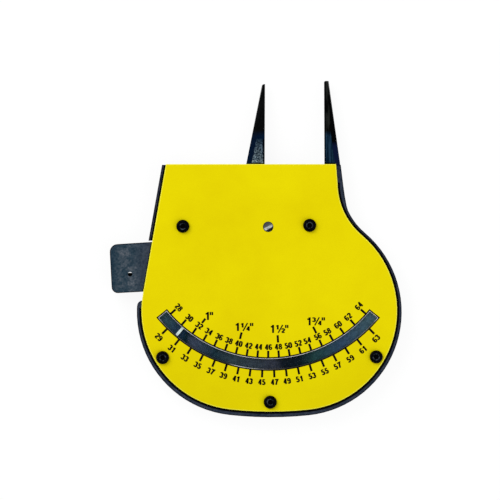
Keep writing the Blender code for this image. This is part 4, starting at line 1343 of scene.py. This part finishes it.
# %% [markdown]
# ## White pointer
#
# The pointer is painted a cold white, so that it stands out from the dark floor behind
# the window. Thin paint on sheet metal varies a little in colour and in shine.

# %% White pointer
tree, shader = new_finish("white_paint", Roughness=0.45)
fine = cloud(tree, 0.8)
paint = ramp(tree, fine, (0.3, (228, 250, 255)), (0.7, (238, 255, 255)))
lay_on(tree, shader, paint, between(tree, fine, 0.3, 0.7, 0.38, 0.55))
dress("white_paint", "pointer")

# %% [markdown]
# ## Painted shadow in the seam
#
# The line round the cover is a painted shadow, so it is nearly black and dull.

# %% Painted shadow in the seam
tree, shader = new_finish("seam_painted_shadow", Roughness=0.5, Specular_IOR_Level=0.03)
lay_on(tree, shader, ramp(tree, cloud(tree, 1.5), (0.3, (3, 2, 6)), (0.7, (14, 12, 18))))
coat_piece(seam_line, "seam_painted_shadow")

# %% [markdown]
# ## A painted highlight in the tab's hole
#
# The crescent is a painted highlight. Real polished steel would only flash from one side,
# so it is a pale colour with some shine, which stays visible in the photograph's even light.

# %% Painted highlight at the hole edge
tree, shader = new_finish("hole_painted_highlight", Roughness=0.3, Specular_IOR_Level=0.8)
painted_glint = ramp(tree, cloud(tree, 0.5), (0.35, (200, 204, 204)), (0.6, (252, 253, 254)))
lay_on(tree, shader, painted_glint)
coat_piece(hole_glint, "hole_painted_highlight")

# %% [markdown]
# ## The clear pane
#
# A thin clear plastic pane closes the window. Real refraction would cost many samples
# and bring nothing at half a millimetre, so the pane is a nearly transparent dark film:
# what it holds back is almost nothing from the front, and from the side it reflects
# more and lets less through.

# %% Clear pane
HELD_BACK = (0.015, 0.8)

tree, shader = new_finish("clear_plastic", Roughness=0.18, IOR=1.49, Specular_IOR_Level=0.5)
shader.inputs["Base Color"].default_value = screen((10, 12, 14))
glance = add(tree, "LayerWeight", {"Blend": 0.5}).outputs["Facing"]
steep = reckon(tree, "POWER", glance, 3.0)
tree.links.new(between(tree, steep, 0.0, 1.0, *HELD_BACK), shader.inputs["Alpha"])
dress("clear_plastic", "dial_pane")

# %% [markdown]
# ## White paper
#
# The photograph has a plain white ground. The floor takes its light normally for every
# ray that lights the gauge, and is mixed with plain white only where the camera, a
# mirror or glass looks at it. That keeps it white to the edge and still leaves a soft
# shadow.
#
# A camera that looks from low down has its lower edge under the paper, and would see the
# grey world there. A second sheet, all glow, lies a hand's breadth below for that view.

# %% Floor
SHEET_HALF = 4.0
SHEET_SHADE = (0.86, 0.86, 0.86, 1)
TABLE_HEIGHT = cad_box[0][2] - 0.0002
HAND_BREADTH = 0.1


def white_sheet(name, height, glow_share, strength):
    """A big level sheet that the camera, mirrors and glass see as white."""
    level = bmesh.new()
    bmesh.ops.create_grid(level, x_segments=1, y_segments=1, size=SHEET_HALF)
    data = bpy.data.meshes.new(name)
    level.to_mesh(data)
    level.free()
    sheet = bpy.data.objects.new(name, data)
    sheet.location.z = height
    bpy.context.scene.collection.objects.link(sheet)
    tree, shader = new_finish("white_" + name, Roughness=0.9)
    shader.inputs["Base Color"].default_value = SHEET_SHADE
    rays = add(tree, "LightPath").outputs
    seen = rays["Is Camera Ray"]
    for ray in ("Is Glossy Ray", "Is Transmission Ray"):
        seen = reckon(tree, "MAXIMUM", seen, rays[ray])
    share = between(tree, seen, 0.0, 1.0, 0.0, glow_share)
    glow = add(tree, "Emission", {"Color": (1, 1, 1, 1), "Strength": strength})
    mixed = add(tree, "MixShader", {0: share, 1: shader.outputs[0], 2: glow.outputs[0]})
    tree.links.new(mixed.outputs[0], tree.nodes["Material Output"].inputs[0])
    data.materials.append(bpy.data.materials["white_" + name])
    print(name, f"lies at {height / MM:.1f} mm")


white_sheet("paper", TABLE_HEIGHT, 0.88, 1.04)
white_sheet("under_paper", TABLE_HEIGHT - HAND_BREADTH, 1.0, 1.0)

# %% [markdown]
# ## Soft studio light
#
# The photograph has no hard shadow: the light comes from all round, with a little more
# from above left. An even pale world gives the base, and two large area lamps give the
# steel something to reflect.

# %% Light
WORLD_LIGHT = 0.5

world = bpy.data.worlds.new("studio")
bpy.context.scene.world = world
world.use_nodes = True
back = world.node_tree.nodes["Background"]
back.inputs["Color"].default_value = (1, 1, 1, 1)
back.inputs["Strength"].default_value = WORLD_LIGHT


def softbox(name, place, size, power):
    """A square area lamp that faces the gauge."""
    lamp = bpy.data.lights.new(name, "AREA")
    lamp.shape = "SQUARE"
    lamp.size = size
    lamp.energy = power
    made = bpy.data.objects.new(name, lamp)
    made.location = place
    made.rotation_euler = (-Vector(place)).to_track_quat("-Z", "Y").to_euler()
    bpy.context.scene.collection.objects.link(made)
    print(name, "lamp,", size, "m wide,", power, "W")


softbox("key", (-0.5, 0.45, 0.8), 0.7, 5.2)
softbox("fill", (0.6, -0.4, 0.7), 0.9, 3.0)

# %% [markdown]
# ## The camera
#
# The photograph looks straight down on the gauge, with no visible perspective, so the
# camera is orthographic. It frames a square of 205 mm, and its middle lies a little left
# of the pivot and below it.

# %% Camera
VIEW_WIDE = 205
VIEW_MIDDLE = (-7.46, -9.51)
CAMERA_HIGH = 1.0

camera = bpy.data.objects.new("camera", bpy.data.cameras.new("camera"))
camera.data.type = "ORTHO"
camera.data.ortho_scale = VIEW_WIDE * MM
camera.location = (VIEW_MIDDLE[0] * MM, VIEW_MIDDLE[1] * MM, CAMERA_HIGH)
bpy.context.scene.collection.objects.link(camera)
bpy.context.scene.camera = camera
bpy.context.scene.view_settings.view_transform = "Standard"
print("the camera frames", VIEW_WIDE, "mm, about", VIEW_MIDDLE)
